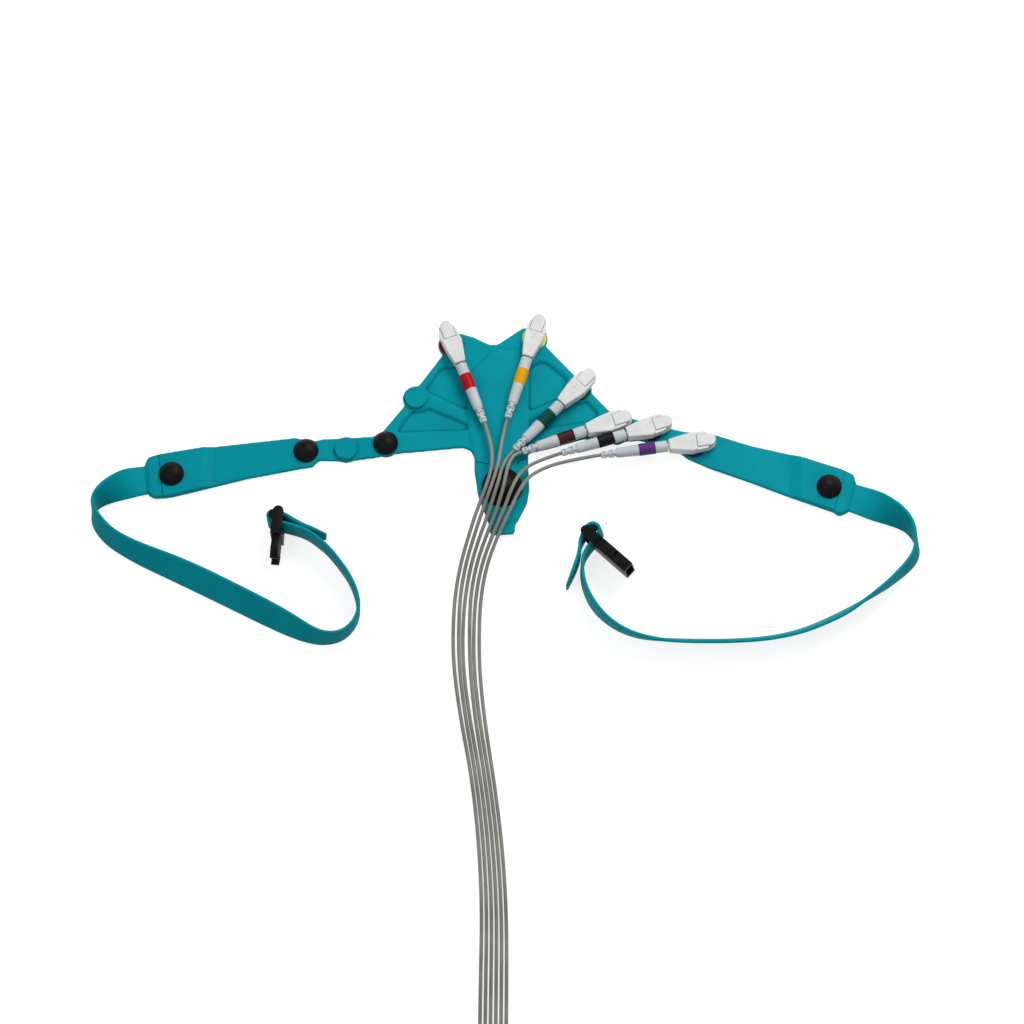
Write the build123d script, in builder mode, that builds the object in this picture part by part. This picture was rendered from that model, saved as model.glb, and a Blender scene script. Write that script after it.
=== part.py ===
from build123d import *
import math
import os

os.makedirs("parts", exist_ok=True)

# Chest electrode belt lying skin side down: a moulded silicone panel with two wings,
# six chest leads clipped to its snap studs, and a strap with a buckle half on either end.
# X runs along the belt, Y up the chest panel, Z away from the skin. Millimetres.

# Driving dimensions of the belt
half_span = 250.0
panel_reach = 125.0
skin_plate = 0.8
sheet_thickness = 3.2
membrane_thickness = 1.5
column_rise = 0.8
pad_rise = 1.4
pad_radius = 18.2
wing_end_rise = 3.0
wing_slope_start = 208.0
wing_slope_run = 8.0
wing_bevel_run = 3.2
wing_bevel_drop = 1.7
seam_width = 0.5
seam_depth = 0.5
outline_round = 3.0
window_round = 6.0
edge_break = 0.5
lobe_radius = 9.8
running_gap = 0.3
overrun = 5.0

# Electrodes, studs, caps and blanks
electrode_radius = 9.4
centre_electrode_radius = 14.0
disc_radius = 8.9
disc_seat_depth = 0.8
disc_rise = 1.0
stud_shank_radius = 1.5
stud_flange_radius = 3.0
stud_flange_thickness = 0.5
stud_neck_radius = 1.45
stud_head_radius = 1.95
stud_height = 3.8
stud_head_share = 0.55
cap_radius = 9.0
cap_height = 6.3
centre_cap_radius = 14.75
centre_cap_height = 8.1
cap_skirt = 1.0
cap_bore_gap = 0.08
blank_radius = 8.3
blank_rise = 2.8

# Clip adapters, from the stud axis: the socket end lies behind it and the press tab ahead
clip_back = 18.5
clip_front = 15.8
clip_height = 8.0
clip_half_width = 6.9
clip_end_half_width = 4.0
clip_wall = 1.4
clip_floor = 1.2
clip_edge_round = 1.0
seam_x = 1.7
socket_axis_height = 4.2
socket_bore = 2.0
socket_sleeve_wall = 0.5
socket_depth = 12.4
receptacle_clearance = 0.2
pocket_back = 4.4
pocket_half_width = 3.0
lever_half_width = 4.6
lever_thickness = 2.5
lever_gap = 1.6
lever_pivot_x = 4.6
lever_hub_radius = 2.1
lever_arm_half_width = 1.8
lever_arm_thickness = 1.2
lever_leg_reach = 3.5
lever_leg_width = 1.1
lever_leg_drop = 2.4
lever_tip_round = 3.4
lever_edge_round = 0.7
lever_pin_radius = 0.8
running_fit = 0.05
shoulder_front = 9.8
shoulder_drop = 0.9
grip_rib_length = 3.4
grip_rib_width = 0.5
grip_rib_rise = 0.25
grip_rib_pitch = 2.4
spring_outer = 1.3
spring_half_length = 1.1
spring_gap = 0.15
sleeve_recess = 0.6

# Banana plugs, from the socket end of the clip towards the lead
plug_gap = 1.0
plug_radius = 4.15
plug_collar = 8.9
band_length = 12.0
band_radius = 4.45
band_wall = 0.8
plug_tail = 15.6
plug_tail_radius = 3.6
relief_length = 11.8
relief_end_radius = 2.5
relief_rib_count = 4
relief_rib_depth = 0.5
plug_pin_radius = 1.95
plug_pin_length = 11.6
plug_pin_tip = 1.0

# Straps and buckle halves
strap_width = 21.6
strap_thickness = 2.6
loop_gap = 0.3
right_loop_play = 1.4
loop_step = 30.0
rail_thickness = 2.2
buckle_thickness = 8.2
buckle_bar_radius = 2.0
buckle_head = 3.9
buckle_head_back = 2.6
buckle_offset = 3.7
bar_ear_radius = 2.9
buckle_base = 7.8
lead_out = 5.5
corner_room_share = 0.45
male_base_length = 6.7
male_reach = 31.5
prong_root = 3.4
barb_length = 8.0
barb_tip = 5.5
guide_width = 7.0
female_reach = 38.0
female_wall = 0.9
female_back = 5.2
female_lean = 10.0
female_lift = 1.2
mouth_lip = 2.6
mouth_length = 8.7
press_pad_rise = 0.5
press_pad_width = 5.7
press_pad_ends = (12.5, 23.8, 25.5, 35.4)
waist_start = 9.0
waist_end = 12.4
waist_depth = 1.6

# Leads, put away in one flat turn beside their connector
cord_diameter = 2.6
cord_sides = 8
lead_pitch = 3.6
lead_grid = 10.0
coil_centre_x = -64.5
coil_centre_y = -470.0
coil_inner_radius = 49.5
coil_step = 18.0
block_length = 18.0
block_height = 10.6
block_margin = 2.2
block_round = 1.0
block_groove = 0.6
connector_pin_radius = 0.75
connector_pin_length = 7.0
connector_pin_seat = 5.0
connector_seat_radius = 1.1
connector_pin_height = 7.0

# Heights worked out from the stack
panel_bottom = skin_plate
panel_top = panel_bottom + sheet_thickness
column_top = panel_top + column_rise
pad_top = panel_top + pad_rise
disc_bottom = panel_top - disc_seat_depth
disc_top = panel_top + disc_rise
flange_top = disc_top + stud_flange_thickness
stud_top = flange_top + stud_height
clip_bottom = flange_top + running_gap
clip_top = clip_bottom + clip_height
socket_height = clip_bottom + socket_axis_height
lever_bottom = clip_top - lever_thickness
lever_floor = lever_bottom - lever_gap
pivot_height = lever_bottom - running_gap
pocket_floor = clip_bottom + clip_floor
strap_lift = rail_thickness + loop_gap
buckle_height = strap_width + 2 * strap_lift
loop_radius = buckle_bar_radius + loop_gap + strap_thickness / 2
buckle_middle = buckle_height / 2
cord_radius = cord_diameter / 2


def placed(shares):
    """Points of an outline given as shares of the belt's half span and of the panel's reach."""
    return [(x * half_span, y * panel_reach) for x, y in shares]


# The silhouette of the moulding, clockwise from the notch between the arms
outline_shares = [
    (-0.014, 0.898), (0.066, 1.010), (0.131, 0.882), (0.311, 0.481), (0.345, 0.452), (0.400, 0.420),
    (0.432, 0.424), (0.486, 0.372), (0.530, 0.350), (0.608, 0.338), (0.720, 0.264), (0.841, 0.206),
    (0.980, 0.112), (1.014, 0.078), (1.022, 0.022), (1.000, -0.140), (0.970, -0.171), (0.954, -0.146),
    (0.821, -0.047), (0.720, 0.035), (0.599, 0.125), (0.535, 0.185), (0.512, 0.226), (0.470, 0.278),
    (0.432, 0.284), (0.398, 0.297), (0.358, 0.293), (0.336, 0.270), (0.300, 0.288), (0.237, 0.307),
    (0.128, 0.242), (0.075, 0.218), (0.079, -0.010), (0.073, -0.088), (0.046, -0.200), (0.039, -0.214),
    (0.037, -0.279), (-0.034, -0.284),
    (-0.038, -0.216), (-0.068, -0.052), (-0.080, 0.111), (-0.080, 0.190), (-0.090, 0.234), (-0.113, 0.254), (-0.302, 0.217),
    (-0.372, 0.190), (-0.451, 0.168), (-0.530, 0.172), (-0.547, 0.133), (-0.580, 0.123), (-0.738, 0.059),
    (-0.857, -0.004), (-0.953, -0.054), (-1.000, -0.063), (-1.020, -0.040), (-1.034, 0.135),
    (-1.022, 0.185), (-0.991, 0.204), (-0.862, 0.250), (-0.599, 0.313), (-0.547, 0.290), (-0.520, 0.304),
    (-0.451, 0.312), (-0.376, 0.320), (-0.347, 0.350), (-0.279, 0.525), (-0.245, 0.632), (-0.179, 0.817),
    (-0.130, 0.974), (-0.084, 0.945), (-0.038, 0.898),
]
column_shares = [
    (-0.027, 0.840), (0.048, 0.860), (0.073, 0.700), (0.072, 0.420), (0.070, -0.006), (0.036, -0.200),
    (-0.034, -0.205), (-0.064, -0.052), (-0.075, 0.130), (-0.094, 0.400), (-0.094, 0.700),
]
# Recessed windows: the two shares of each corner, and its share of the window rounding
window_shares = [
    [(-0.098, 0.476, 0.3), (-0.098, 0.762, 1.0), (-0.178, 0.760, 1.6), (-0.230, 0.606, 0.4)],
    [(-0.209, 0.500, 0.4), (-0.098, 0.400, 0.3), (-0.098, 0.357, 0.3), (-0.314, 0.340, 0.4),
     (-0.264, 0.480, 0.7)],
    [(0.077, 0.472, 0.3), (0.077, 0.762, 0.5), (0.120, 0.806, 1.3), (0.194, 0.682, 0.5), (0.176, 0.560, 0.4)],
    [(0.077, 0.420, 0.3), (0.180, 0.540, 0.6), (0.244, 0.552, 0.8), (0.286, 0.460, 0.6),
     (0.264, 0.412, 0.6), (0.077, 0.348, 0.4)],
]

# Stations: the share of the half span, the share of the reach, and the clip's bearing
chest_leads = {
    "v1": (-0.148, 0.895, 110.8),
    "v2": (0.0945, 0.936, 73.2),
    "v3": (0.222, 0.614, 46.8),
    "v4": (0.3145, 0.388, 19.5),
    "v5": (0.431, 0.361, 17.5),
    "v6": (0.5545, 0.263, 8.2),
}
cap_shares = [(-0.337, 0.276), (-0.567, 0.230), (-0.953, 0.078), (0.942, 0.000)]
blank_shares = [(-0.250, 0.558), (-0.451, 0.240)]
lead_stations = placed([(x, y) for x, y, bearing in chest_leads.values()])
cap_stations = placed(cap_shares)
blank_stations = placed(blank_shares)
wing_ends = cap_stations[2:]
wing_end_top = panel_top + wing_end_rise


def station_base(place):
    """Height of the moulding's top face under a cap."""
    return wing_end_top if place in wing_ends else panel_top


# Strap routes: shares of the half span and of the reach, the lean off upright, and the share of the lift
left_bar = (-0.6532 * half_span, -0.2208 * panel_reach)
right_bar = (0.2628 * half_span, -0.3024 * panel_reach)
left_strap_shares = [
    (-1.002, 0.056, 90, 0.95), (-1.038, 0.045, 90, 0.95), (-1.070, 0.026, 72, 0.60), (-1.104, -0.005, 48, 0.30),
    (-1.142, -0.050, 27, 0.10), (-1.166, -0.098, 10, 0.00), (-1.174, -0.149, -4, 0.00),
    (-1.166, -0.202, -15, 0.00), (-1.150, -0.256, -19, 0.00), (-1.122, -0.316, -21, 0.00),
    (-1.081, -0.370, -23, 0.00), (-1.028, -0.424, -29, 0.00), (-0.948, -0.491, -38, 0.00),
    (-0.866, -0.567, -43, 0.00), (-0.774, -0.661, -42, 0.00), (-0.676, -0.763, -40, 0.00),
    (-0.608, -0.837, -33, 0.00), (-0.557, -0.893, -20, 0.00), (-0.508, -0.928, -8, 0.00),
    (-0.459, -0.918, 0, 0.00), (-0.425, -0.864, 3, 0.00), (-0.406, -0.781, 3, 0.00), (-0.410, -0.685, 2, 0.10),
    (-0.430, -0.581, 0, 0.30), (-0.462, -0.486, 0, 0.55), (-0.496, -0.404, 0, 0.80), (-0.534, -0.340, 0, 1.00),
    (-0.568, -0.294, 0, 1.00),
]
right_strap_shares = [
    (0.984, -0.044, -90, 0.95), (1.026, -0.071, -90, 0.95), (1.064, -0.107, -72, 0.60),
    (1.099, -0.146, -48, 0.30), (1.126, -0.178, -34, 0.10), (1.148, -0.210, -21, 0.00),
    (1.165, -0.245, -10, 0.00), (1.177, -0.288, -1, 0.00), (1.185, -0.339, 8, 0.00), (1.186, -0.394, 12, 0.00),
    (1.176, -0.448, 10, 0.00), (1.154, -0.501, 6, 0.00), (1.126, -0.555, 2, 0.00), (1.090, -0.618, -4, 0.00),
    (1.004, -0.736, -16, 0.00), (0.960, -0.788, -20, 0.00), (0.910, -0.836, -20, 0.00),
    (0.856, -0.880, -20, 0.00), (0.796, -0.912, -20, 0.00), (0.732, -0.932, -20, 0.00), (0.652, -0.942, -20, 0.00),
    (0.570, -0.944, -20, 0.00), (0.488, -0.940, -20, 0.00), (0.432, -0.930, -16, 0.00), (0.382, -0.910, -12, 0.00),
    (0.336, -0.872, -8, 0.00), (0.294, -0.810, -4, 0.00), (0.262, -0.736, 0, 0.00), (0.241, -0.656, 0, 0.00),
    (0.230, -0.576, 0, 0.05), (0.228, -0.496, 0, 0.15), (0.236, -0.428, 0, 0.30),
]
# Seams across the moulding: the shares of both ends
wing_seam_shares = [[(-0.992, 0.200), (-0.974, -0.070)], [(0.990, 0.100), (0.952, -0.168)]]
column_seam_shares = [[(-0.076, 0.160), (-0.040, 0.146)], [(0.077, 0.180), (0.052, 0.166)],
                      [(0.052, 0.166), (0.043, 0.146)]]
# The two ends of each wing's end face
wing_face_shares = [[(-1.034, 0.135), (-1.020, -0.040)], [(1.000, -0.140), (1.022, 0.022)]]
left_loop = (-107.0, -297.0)
right_loop = (-34.0, 162.0)
left_tail_shares = [
    (-0.620, -0.213, 0, 1.00), (-0.598, -0.240, 0, 1.00), (-0.570, -0.274, 0, 0.90), (-0.536, -0.301, 0, 0.70),
    (-0.502, -0.322, 0, 0.50),
]
right_tail_shares = [
    (0.223, -0.362, 0, 0.58), (0.222, -0.412, 0, 0.40), (0.217, -0.461, 0, 0.30), (0.204, -0.533, 0, 0.20),
    (0.185, -0.624, 0, 0.10),
]


def strap_places(shares):
    """Centre points of a strap given as shares: the place, the lean and the lift."""
    return [(x * half_span, y * panel_reach, lean, lift * strap_lift) for x, y, lean, lift in shares]


def bar_loop(bar, loop, radius):
    """Centre points of a strap's turn round its buckle's bar."""
    start, end = loop
    steps = round(abs(end - start) / loop_step)
    places = []
    for step in range(steps + 1):
        turn = math.radians(start + (end - start) * step / steps)
        places.append((bar[0] + radius * math.cos(turn), bar[1] + radius * math.sin(turn), 0, strap_lift))
    return places


def strap_planes(route):
    """One upright plane for each point of a strap's route, square to the route."""
    planes = []
    last = len(route) - 1
    for index, (x, y, lean, lift) in enumerate(route):
        before = route[max(index - 1, 0)]
        after = route[min(index + 1, last)]
        if index == 0 or index == 1:
            before, after = route[0], route[1]
        heading = Vector(after[0] - before[0], after[1] - before[1], 0).normalized()
        side = Vector(heading.Y, -heading.X, 0)
        tilt = math.radians(lean)
        up = Vector(0, 0, 1) * math.cos(tilt) + side * math.sin(tilt)
        rise = strap_thickness / 2 * abs(math.sin(tilt)) + strap_width / 2 * math.cos(tilt) + lift
        planes.append(Plane(origin=(x, y, rise), x_dir=up.cross(heading), z_dir=heading))
    return planes


def heading(bearing):
    """Level direction at a bearing."""
    return Vector(math.cos(math.radians(bearing)), math.sin(math.radians(bearing)), 0)


# The female half leans over to one side about its own length, and the strap's turn leans with it
male_bearing = -94.5
female_bearing = -43.0
lean_axis = Axis((*right_bar, buckle_middle), tuple(heading(female_bearing)))


def leaned(plane):
    """A plane of the upright female half, moved to where that half leans."""
    arm, x_dir, z_dir = [
        direction.rotate(lean_axis, female_lean)
        for direction in (plane.origin - lean_axis.position, plane.x_dir, plane.z_dir)
    ]
    return Plane(origin=lean_axis.position + arm + Vector(0, 0, female_lift), x_dir=x_dir, z_dir=z_dir)


left_turn = bar_loop(left_bar, left_loop, loop_radius)
left_planes = strap_planes(strap_places(left_strap_shares) + left_turn + strap_places(left_tail_shares))
right_turn = bar_loop(right_bar, right_loop, loop_radius + right_loop_play)
right_planes = strap_planes(strap_places(right_strap_shares) + right_turn + strap_places(right_tail_shares))
turn_start = len(right_strap_shares)
turn_end = turn_start + len(right_turn)
right_planes[turn_start:turn_end] = [leaned(plane) for plane in right_planes[turn_start:turn_end]]

for name, planes in (("left_strap", left_planes), ("right_strap", right_planes)):
    with BuildPart() as strap:
        for near, far in zip(planes, planes[1:]):
            sections = []
            for plane in (near, far):
                with BuildSketch(plane) as section:
                    Rectangle(strap_thickness, strap_width)
                sections.append(section.sketch)
            loft(sections, ruled=True)
    strap.part.label = name
    print(name, "volume", round(strap.part.volume))
    export_step(strap.part, f"parts/{name}.step")

with BuildPart() as belt_panel:
    with BuildSketch(Plane.XY.offset(panel_bottom)):
        with BuildLine():
            FilletPolyline(*placed(outline_shares), radius=outline_round, close=True)
        make_face()
        with Locations(*lead_stations, *cap_stations, *blank_stations):
            Circle(lobe_radius)
    extrude(amount=sheet_thickness + wing_end_rise)
    slope_end = wing_slope_start + wing_slope_run
    past_end = half_span + strap_width
    with BuildSketch(Plane.XZ):
        with BuildLine():
            Polyline(
                (-past_end, panel_bottom), (past_end, panel_bottom), (past_end, wing_end_top),
                (slope_end, wing_end_top), (wing_slope_start, panel_top), (-wing_slope_start, panel_top),
                (-slope_end, wing_end_top), (-past_end, wing_end_top), close=True,
            )
        make_face()
    extrude(amount=panel_reach + lobe_radius, both=True, mode=Mode.INTERSECT)
    with BuildSketch(Plane.XY.offset(panel_top)):
        with BuildLine():
            FilletPolyline(*placed(column_shares), radius=outline_round, close=True)
        make_face()
    extrude(amount=column_rise)
    with BuildSketch(Plane.XY.offset(panel_top)):
        Circle(pad_radius)
    extrude(amount=pad_rise)
    with BuildSketch(Plane.XY.offset(panel_bottom + membrane_thickness)):
        for window in window_shares:
            corners = placed([(x, y) for x, y, turn in window])
            with BuildLine():
                FilletPolyline(*corners, radius=[turn * window_round for x, y, turn in window], close=True)
            make_face()
        with Locations(*lead_stations, *cap_stations, *blank_stations):
            Circle(lobe_radius, mode=Mode.SUBTRACT)
    extrude(amount=overrun, mode=Mode.SUBTRACT)
    with BuildSketch(Plane.XY.offset(disc_bottom)):
        with Locations(*lead_stations):
            Circle(disc_radius)
    extrude(amount=overrun, mode=Mode.SUBTRACT)
    with BuildSketch(Plane.XY):
        with Locations((0, 0), *lead_stations, *cap_stations, *blank_stations):
            Circle(stud_shank_radius)
    extrude(amount=wing_end_top + overrun, mode=Mode.SUBTRACT)
    for shares in wing_face_shares:
        low, high = [Vector(*place, wing_end_top) for place in placed(shares)]
        along = (high - low).normalized()
        with BuildSketch(Plane(origin=(low + high) / 2, x_dir=along.cross(Vector(0, 0, 1)), z_dir=along)):
            with BuildLine():
                Polyline(
                    (-wing_bevel_run, 0), (wing_bevel_run, 0), (wing_bevel_run, 2 * wing_bevel_drop), close=True,
                )
            make_face()
        extrude(amount=strap_width, both=True, mode=Mode.SUBTRACT)
    for top, table in ((wing_end_top, wing_seam_shares), (column_top, column_seam_shares)):
        for shares in table:
            start, end = [Vector(*place, top) for place in placed(shares)]
            with BuildSketch(Plane(origin=(start + end) / 2, x_dir=end - start, z_dir=(0, 0, -1))):
                Rectangle((end - start).length + seam_width, seam_width)
            extrude(amount=seam_depth, mode=Mode.SUBTRACT)
    for planes in (left_planes, right_planes):
        with BuildSketch(planes[0]):
            Rectangle(strap_thickness, strap_width)
        extrude(amount=strap_width, mode=Mode.SUBTRACT)
belt_panel.part.label = "belt_panel"
export_step(belt_panel.part, "parts/belt_panel.step")

with BuildPart() as skin_electrodes:
    with BuildSketch():
        Circle(centre_electrode_radius)
        with Locations(*lead_stations, *cap_stations):
            Circle(electrode_radius)
    extrude(amount=skin_plate)
skin_electrodes.part.label = "skin_electrodes"
export_step(skin_electrodes.part, "parts/skin_electrodes.step")


def stud_profile(base):
    """Half section of a snap stud: shank through the moulding, flange, neck and rounded head."""
    head_base = base + stud_height * (1 - stud_head_share)
    flange = base - stud_flange_thickness
    return [
        (0, panel_bottom), (stud_shank_radius, panel_bottom), (stud_shank_radius, flange),
        (stud_flange_radius, flange), (stud_flange_radius, base), (stud_neck_radius, base),
        (stud_neck_radius, head_base), (stud_head_radius, head_base + edge_break),
        (stud_head_radius, base + stud_height - edge_break), (0, base + stud_height),
    ]


cap_centres = {(0.0, 0.0): pad_top}
for place in cap_stations:
    cap_centres[place] = station_base(place)
with BuildPart() as snap_studs:
    stud_places = [(place, flange_top) for place in lead_stations]
    stud_places += [(place, base + stud_flange_thickness) for place, base in cap_centres.items()]
    for (x, y), base in stud_places:
        with BuildSketch(Plane(origin=(x, y, 0), x_dir=(1, 0, 0), z_dir=(0, -1, 0))):
            with BuildLine():
                Polyline(*stud_profile(base), close=True)
            make_face()
        revolve(axis=Axis((x, y, 0), (0, 0, 1)))
snap_studs.part.label = "snap_studs"
export_step(snap_studs.part, "parts/snap_studs.step")

for lead, place in zip(chest_leads, lead_stations):
    with BuildPart() as electrode_disc:
        with BuildSketch(Plane((*place, disc_bottom))):
            Circle(disc_radius)
            Circle(stud_shank_radius, mode=Mode.SUBTRACT)
        extrude(amount=disc_top - disc_bottom)
        chamfer(electrode_disc.faces().sort_by(Axis.Z)[-1].outer_wire().edges(), edge_break / 2)
    electrode_disc.part.label = f"electrode_disc_{lead}"
    export_step(electrode_disc.part, f"parts/electrode_disc_{lead}.step")


def dome_section(place, base, radius, height):
    """Half section of a low rubber dome with a short skirt and a blind bore for its stud."""
    bore = stud_head_radius + cap_bore_gap
    bore_top = base + stud_flange_thickness + stud_height + running_gap
    flange = stud_flange_radius + cap_bore_gap
    flange_seat = base + stud_flange_thickness
    crown = base + height
    shoulder = base + cap_skirt
    rise = crown - shoulder
    sphere = (radius ** 2 + rise ** 2) / (2 * rise)
    half_turn = math.asin(radius / sphere) / 2
    half_way = (sphere * math.sin(half_turn), crown - sphere * (1 - math.cos(half_turn)))
    with BuildSketch(Plane(origin=(*place, 0), x_dir=(1, 0, 0), z_dir=(0, -1, 0))) as section:
        with BuildLine():
            Polyline((0, crown), (0, bore_top), (bore, bore_top), (bore, flange_seat), (flange, flange_seat),
                     (flange, base), (radius, base), (radius, shoulder))
            ThreePointArc((radius, shoulder), half_way, (0, crown))
        make_face()
    return section.sketch


with BuildPart() as centre_cap:
    revolve(dome_section((0, 0), pad_top, centre_cap_radius, centre_cap_height), axis=Axis.Z)
centre_cap.part.label = "centre_cap"
export_step(centre_cap.part, "parts/centre_cap.step")

with BuildPart() as dome_caps:
    for place in cap_stations:
        section = dome_section(place, station_base(place), cap_radius, cap_height)
        revolve(section, axis=Axis((*place, 0), (0, 0, 1)))
dome_caps.part.label = "dome_caps"
export_step(dome_caps.part, "parts/dome_caps.step")

with BuildPart() as blank_knobs:
    for place in blank_stations:
        with BuildSketch(Plane((*place, panel_top))):
            Circle(blank_radius)
        extrude(amount=blank_rise)
        with BuildSketch(Plane((*place, panel_bottom))):
            Circle(stud_shank_radius)
        extrude(amount=sheet_thickness)
    chamfer(blank_knobs.faces().group_by(Axis.Z)[-1].edges(), edge_break)
blank_knobs.part.label = "blank_knobs"
export_step(blank_knobs.part, "parts/blank_knobs.step")


def clip_plane(place, bearing):
    """Floor plane of a clip: X from the stud to the press tab."""
    turn = math.radians(bearing)
    return Plane(origin=(*place, 0), x_dir=(math.cos(turn), math.sin(turn), 0), z_dir=(0, 0, 1))


def side_plane(base):
    """Upright plane through a clip's axis: X along the clip, Y up."""
    return Plane(origin=base.origin, x_dir=base.x_dir, z_dir=-base.y_dir)


def along_clip(base, x, z):
    """The point at x along a clip's axis and z above the floor."""
    return base.origin + base.x_dir * x + base.z_dir * z


def clip_outline(plane):
    """Plan of the clip: narrow socket end, widest at the seam, rounded tip."""
    nose_share, nose_width_share = 0.66, 0.86
    nose = clip_front * nose_share
    nose_half = clip_half_width * nose_width_share
    with BuildSketch(plane) as plan:
        with BuildLine():
            upper = Spline(
                (-clip_back, clip_end_half_width), (seam_x, clip_half_width), (nose, nose_half), (clip_front, 0),
                tangents=((1, 0.22), (0, -1)),
            )
            lower = Spline(
                (clip_front, 0), (nose, -nose_half), (seam_x, -clip_half_width), (-clip_back, -clip_end_half_width),
                tangents=((0, -1), (-1, 0.22)),
            )
            Line(lower @ 1, upper @ 0)
        make_face()
    return plan.sketch


clip_bases = {
    lead: clip_plane(place, bearing)
    for (lead, (share_x, share_y, bearing)), place in zip(chest_leads.items(), lead_stations)
}
arm_bottom = stud_top + running_gap + edge_break / 2
slot_half_width = lever_half_width + running_gap

for lead, base in clip_bases.items():
    side = side_plane(base)
    socket_mouth = Plane(origin=along_clip(base, -clip_back, socket_height), x_dir=base.y_dir, z_dir=base.x_dir)
    with BuildPart() as clip_shell:
        extrude(clip_outline(base.offset(clip_bottom)), amount=clip_height)
        fillet(clip_shell.edges().filter_by(Axis.Z), clip_edge_round)
        fillet(clip_shell.faces().sort_by(Axis.Z)[-1].edges(), clip_edge_round)
        # Slot for the press tab, its open front, and shoulders a little lower than the tab
        with BuildSketch(base.offset(lever_floor)):
            with Locations((seam_x, 0)):
                Rectangle(2 * clip_front, 2 * slot_half_width, align=(Align.MIN, Align.CENTER))
            with Locations((shoulder_front, 0)):
                Rectangle(clip_front, 3 * clip_half_width, align=(Align.MIN, Align.CENTER))
        extrude(amount=clip_height, mode=Mode.SUBTRACT)
        with BuildSketch(base.offset(clip_top - shoulder_drop)):
            with Locations((seam_x, 0)):
                Rectangle(2 * clip_front, 3 * clip_half_width, align=(Align.MIN, Align.CENTER))
        extrude(amount=clip_height, mode=Mode.SUBTRACT)
        # Pockets for the stud, the jaw and the lever's hub
        with BuildSketch(base.offset(clip_bottom)):
            Circle(stud_head_radius + receptacle_clearance)
        extrude(amount=2 * clip_floor, mode=Mode.SUBTRACT)
        with BuildSketch(base.offset(pocket_floor)):
            with Locations((-pocket_back, 0)):
                Rectangle(pocket_back + lever_pivot_x, 2 * pocket_half_width, align=(Align.MIN, Align.CENTER))
        extrude(amount=clip_top - clip_wall - pocket_floor, mode=Mode.SUBTRACT)
        with BuildSketch(base.offset(pivot_height - lever_hub_radius - running_gap)):
            with Locations((lever_pivot_x, 0)):
                Rectangle(2 * (lever_hub_radius + running_gap), 2 * slot_half_width)
        extrude(amount=lever_hub_radius, mode=Mode.SUBTRACT)
        with BuildSketch(socket_mouth):
            Circle(socket_bore + socket_sleeve_wall)
        extrude(amount=socket_depth, mode=Mode.SUBTRACT)
        with BuildSketch(side):
            with Locations((lever_pivot_x, pivot_height)):
                Circle(lever_pin_radius)
        extrude(amount=2 * clip_half_width, both=True, mode=Mode.SUBTRACT)
        with BuildSketch(base.offset(clip_top)):
            with Locations((seam_x - grip_rib_pitch, 0), (seam_x - 2 * grip_rib_pitch, 0)):
                Rectangle(grip_rib_width, grip_rib_length)
        extrude(amount=grip_rib_rise)
    clip_shell.part.label = f"clip_shell_{lead}"
    export_step(clip_shell.part, f"parts/clip_shell_{lead}.step")

    with BuildPart() as clip_lever:
        tab_back = seam_x + running_gap
        tip_start = clip_front - lever_tip_round
        with BuildSketch(base.offset(lever_bottom)):
            with BuildLine():
                Polyline((tip_start, lever_half_width), (tab_back, lever_half_width),
                         (tab_back, -lever_half_width), (tip_start, -lever_half_width))
                ThreePointArc((tip_start, -lever_half_width), (clip_front, 0), (tip_start, lever_half_width))
            make_face()
        extrude(amount=lever_thickness)
        fillet(clip_lever.faces().sort_by(Axis.Z)[-1].edges(), lever_edge_round)
        with BuildSketch(side):
            with Locations((lever_pivot_x, pivot_height)):
                Circle(lever_hub_radius)
        extrude(amount=lever_half_width, both=True)
        with BuildSketch(side):
            with Locations((-lever_leg_reach, arm_bottom)):
                Rectangle(lever_pivot_x + lever_leg_reach, lever_arm_thickness, align=(Align.MIN, Align.MIN))
                Rectangle(lever_leg_width, lever_leg_drop, align=(Align.MIN, Align.MAX))
        extrude(amount=lever_arm_half_width, both=True)
        with BuildSketch(side):
            with Locations((lever_pivot_x, pivot_height)):
                Circle(lever_pin_radius + running_fit)
        extrude(amount=2 * lever_half_width, both=True, mode=Mode.SUBTRACT)
        with BuildSketch(side):
            with Locations((lever_pivot_x, pivot_height)):
                Circle(spring_outer + spring_gap)
        extrude(amount=spring_half_length + spring_gap, both=True, mode=Mode.SUBTRACT)
    clip_lever.part.label = f"clip_lever_{lead}"
    export_step(clip_lever.part, f"parts/clip_lever_{lead}.step")

with BuildPart() as lever_pins:
    for base in clip_bases.values():
        with BuildSketch(side_plane(base)):
            with Locations((lever_pivot_x, pivot_height)):
                Circle(lever_pin_radius)
        extrude(amount=clip_half_width - running_gap - grip_rib_rise, both=True)
lever_pins.part.label = "lever_pins"
export_step(lever_pins.part, "parts/lever_pins.step")

with BuildPart() as lever_springs:
    for base in clip_bases.values():
        with BuildSketch(side_plane(base)):
            with Locations((lever_pivot_x, pivot_height)):
                Circle(spring_outer)
                Circle(lever_pin_radius + spring_gap, mode=Mode.SUBTRACT)
        extrude(amount=spring_half_length, both=True)
lever_springs.part.label = "lever_springs"
export_step(lever_springs.part, "parts/lever_springs.step")

with BuildPart() as socket_sleeves:
    for base in clip_bases.values():
        mouth = along_clip(base, sleeve_recess - clip_back, socket_height)
        with BuildSketch(Plane(origin=mouth, x_dir=base.y_dir, z_dir=base.x_dir)):
            Circle(socket_bore + socket_sleeve_wall)
            Circle(socket_bore, mode=Mode.SUBTRACT)
        extrude(amount=socket_depth - sleeve_recess)
socket_sleeves.part.label = "socket_sleeves"
export_step(socket_sleeves.part, "parts/socket_sleeves.step")

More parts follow.
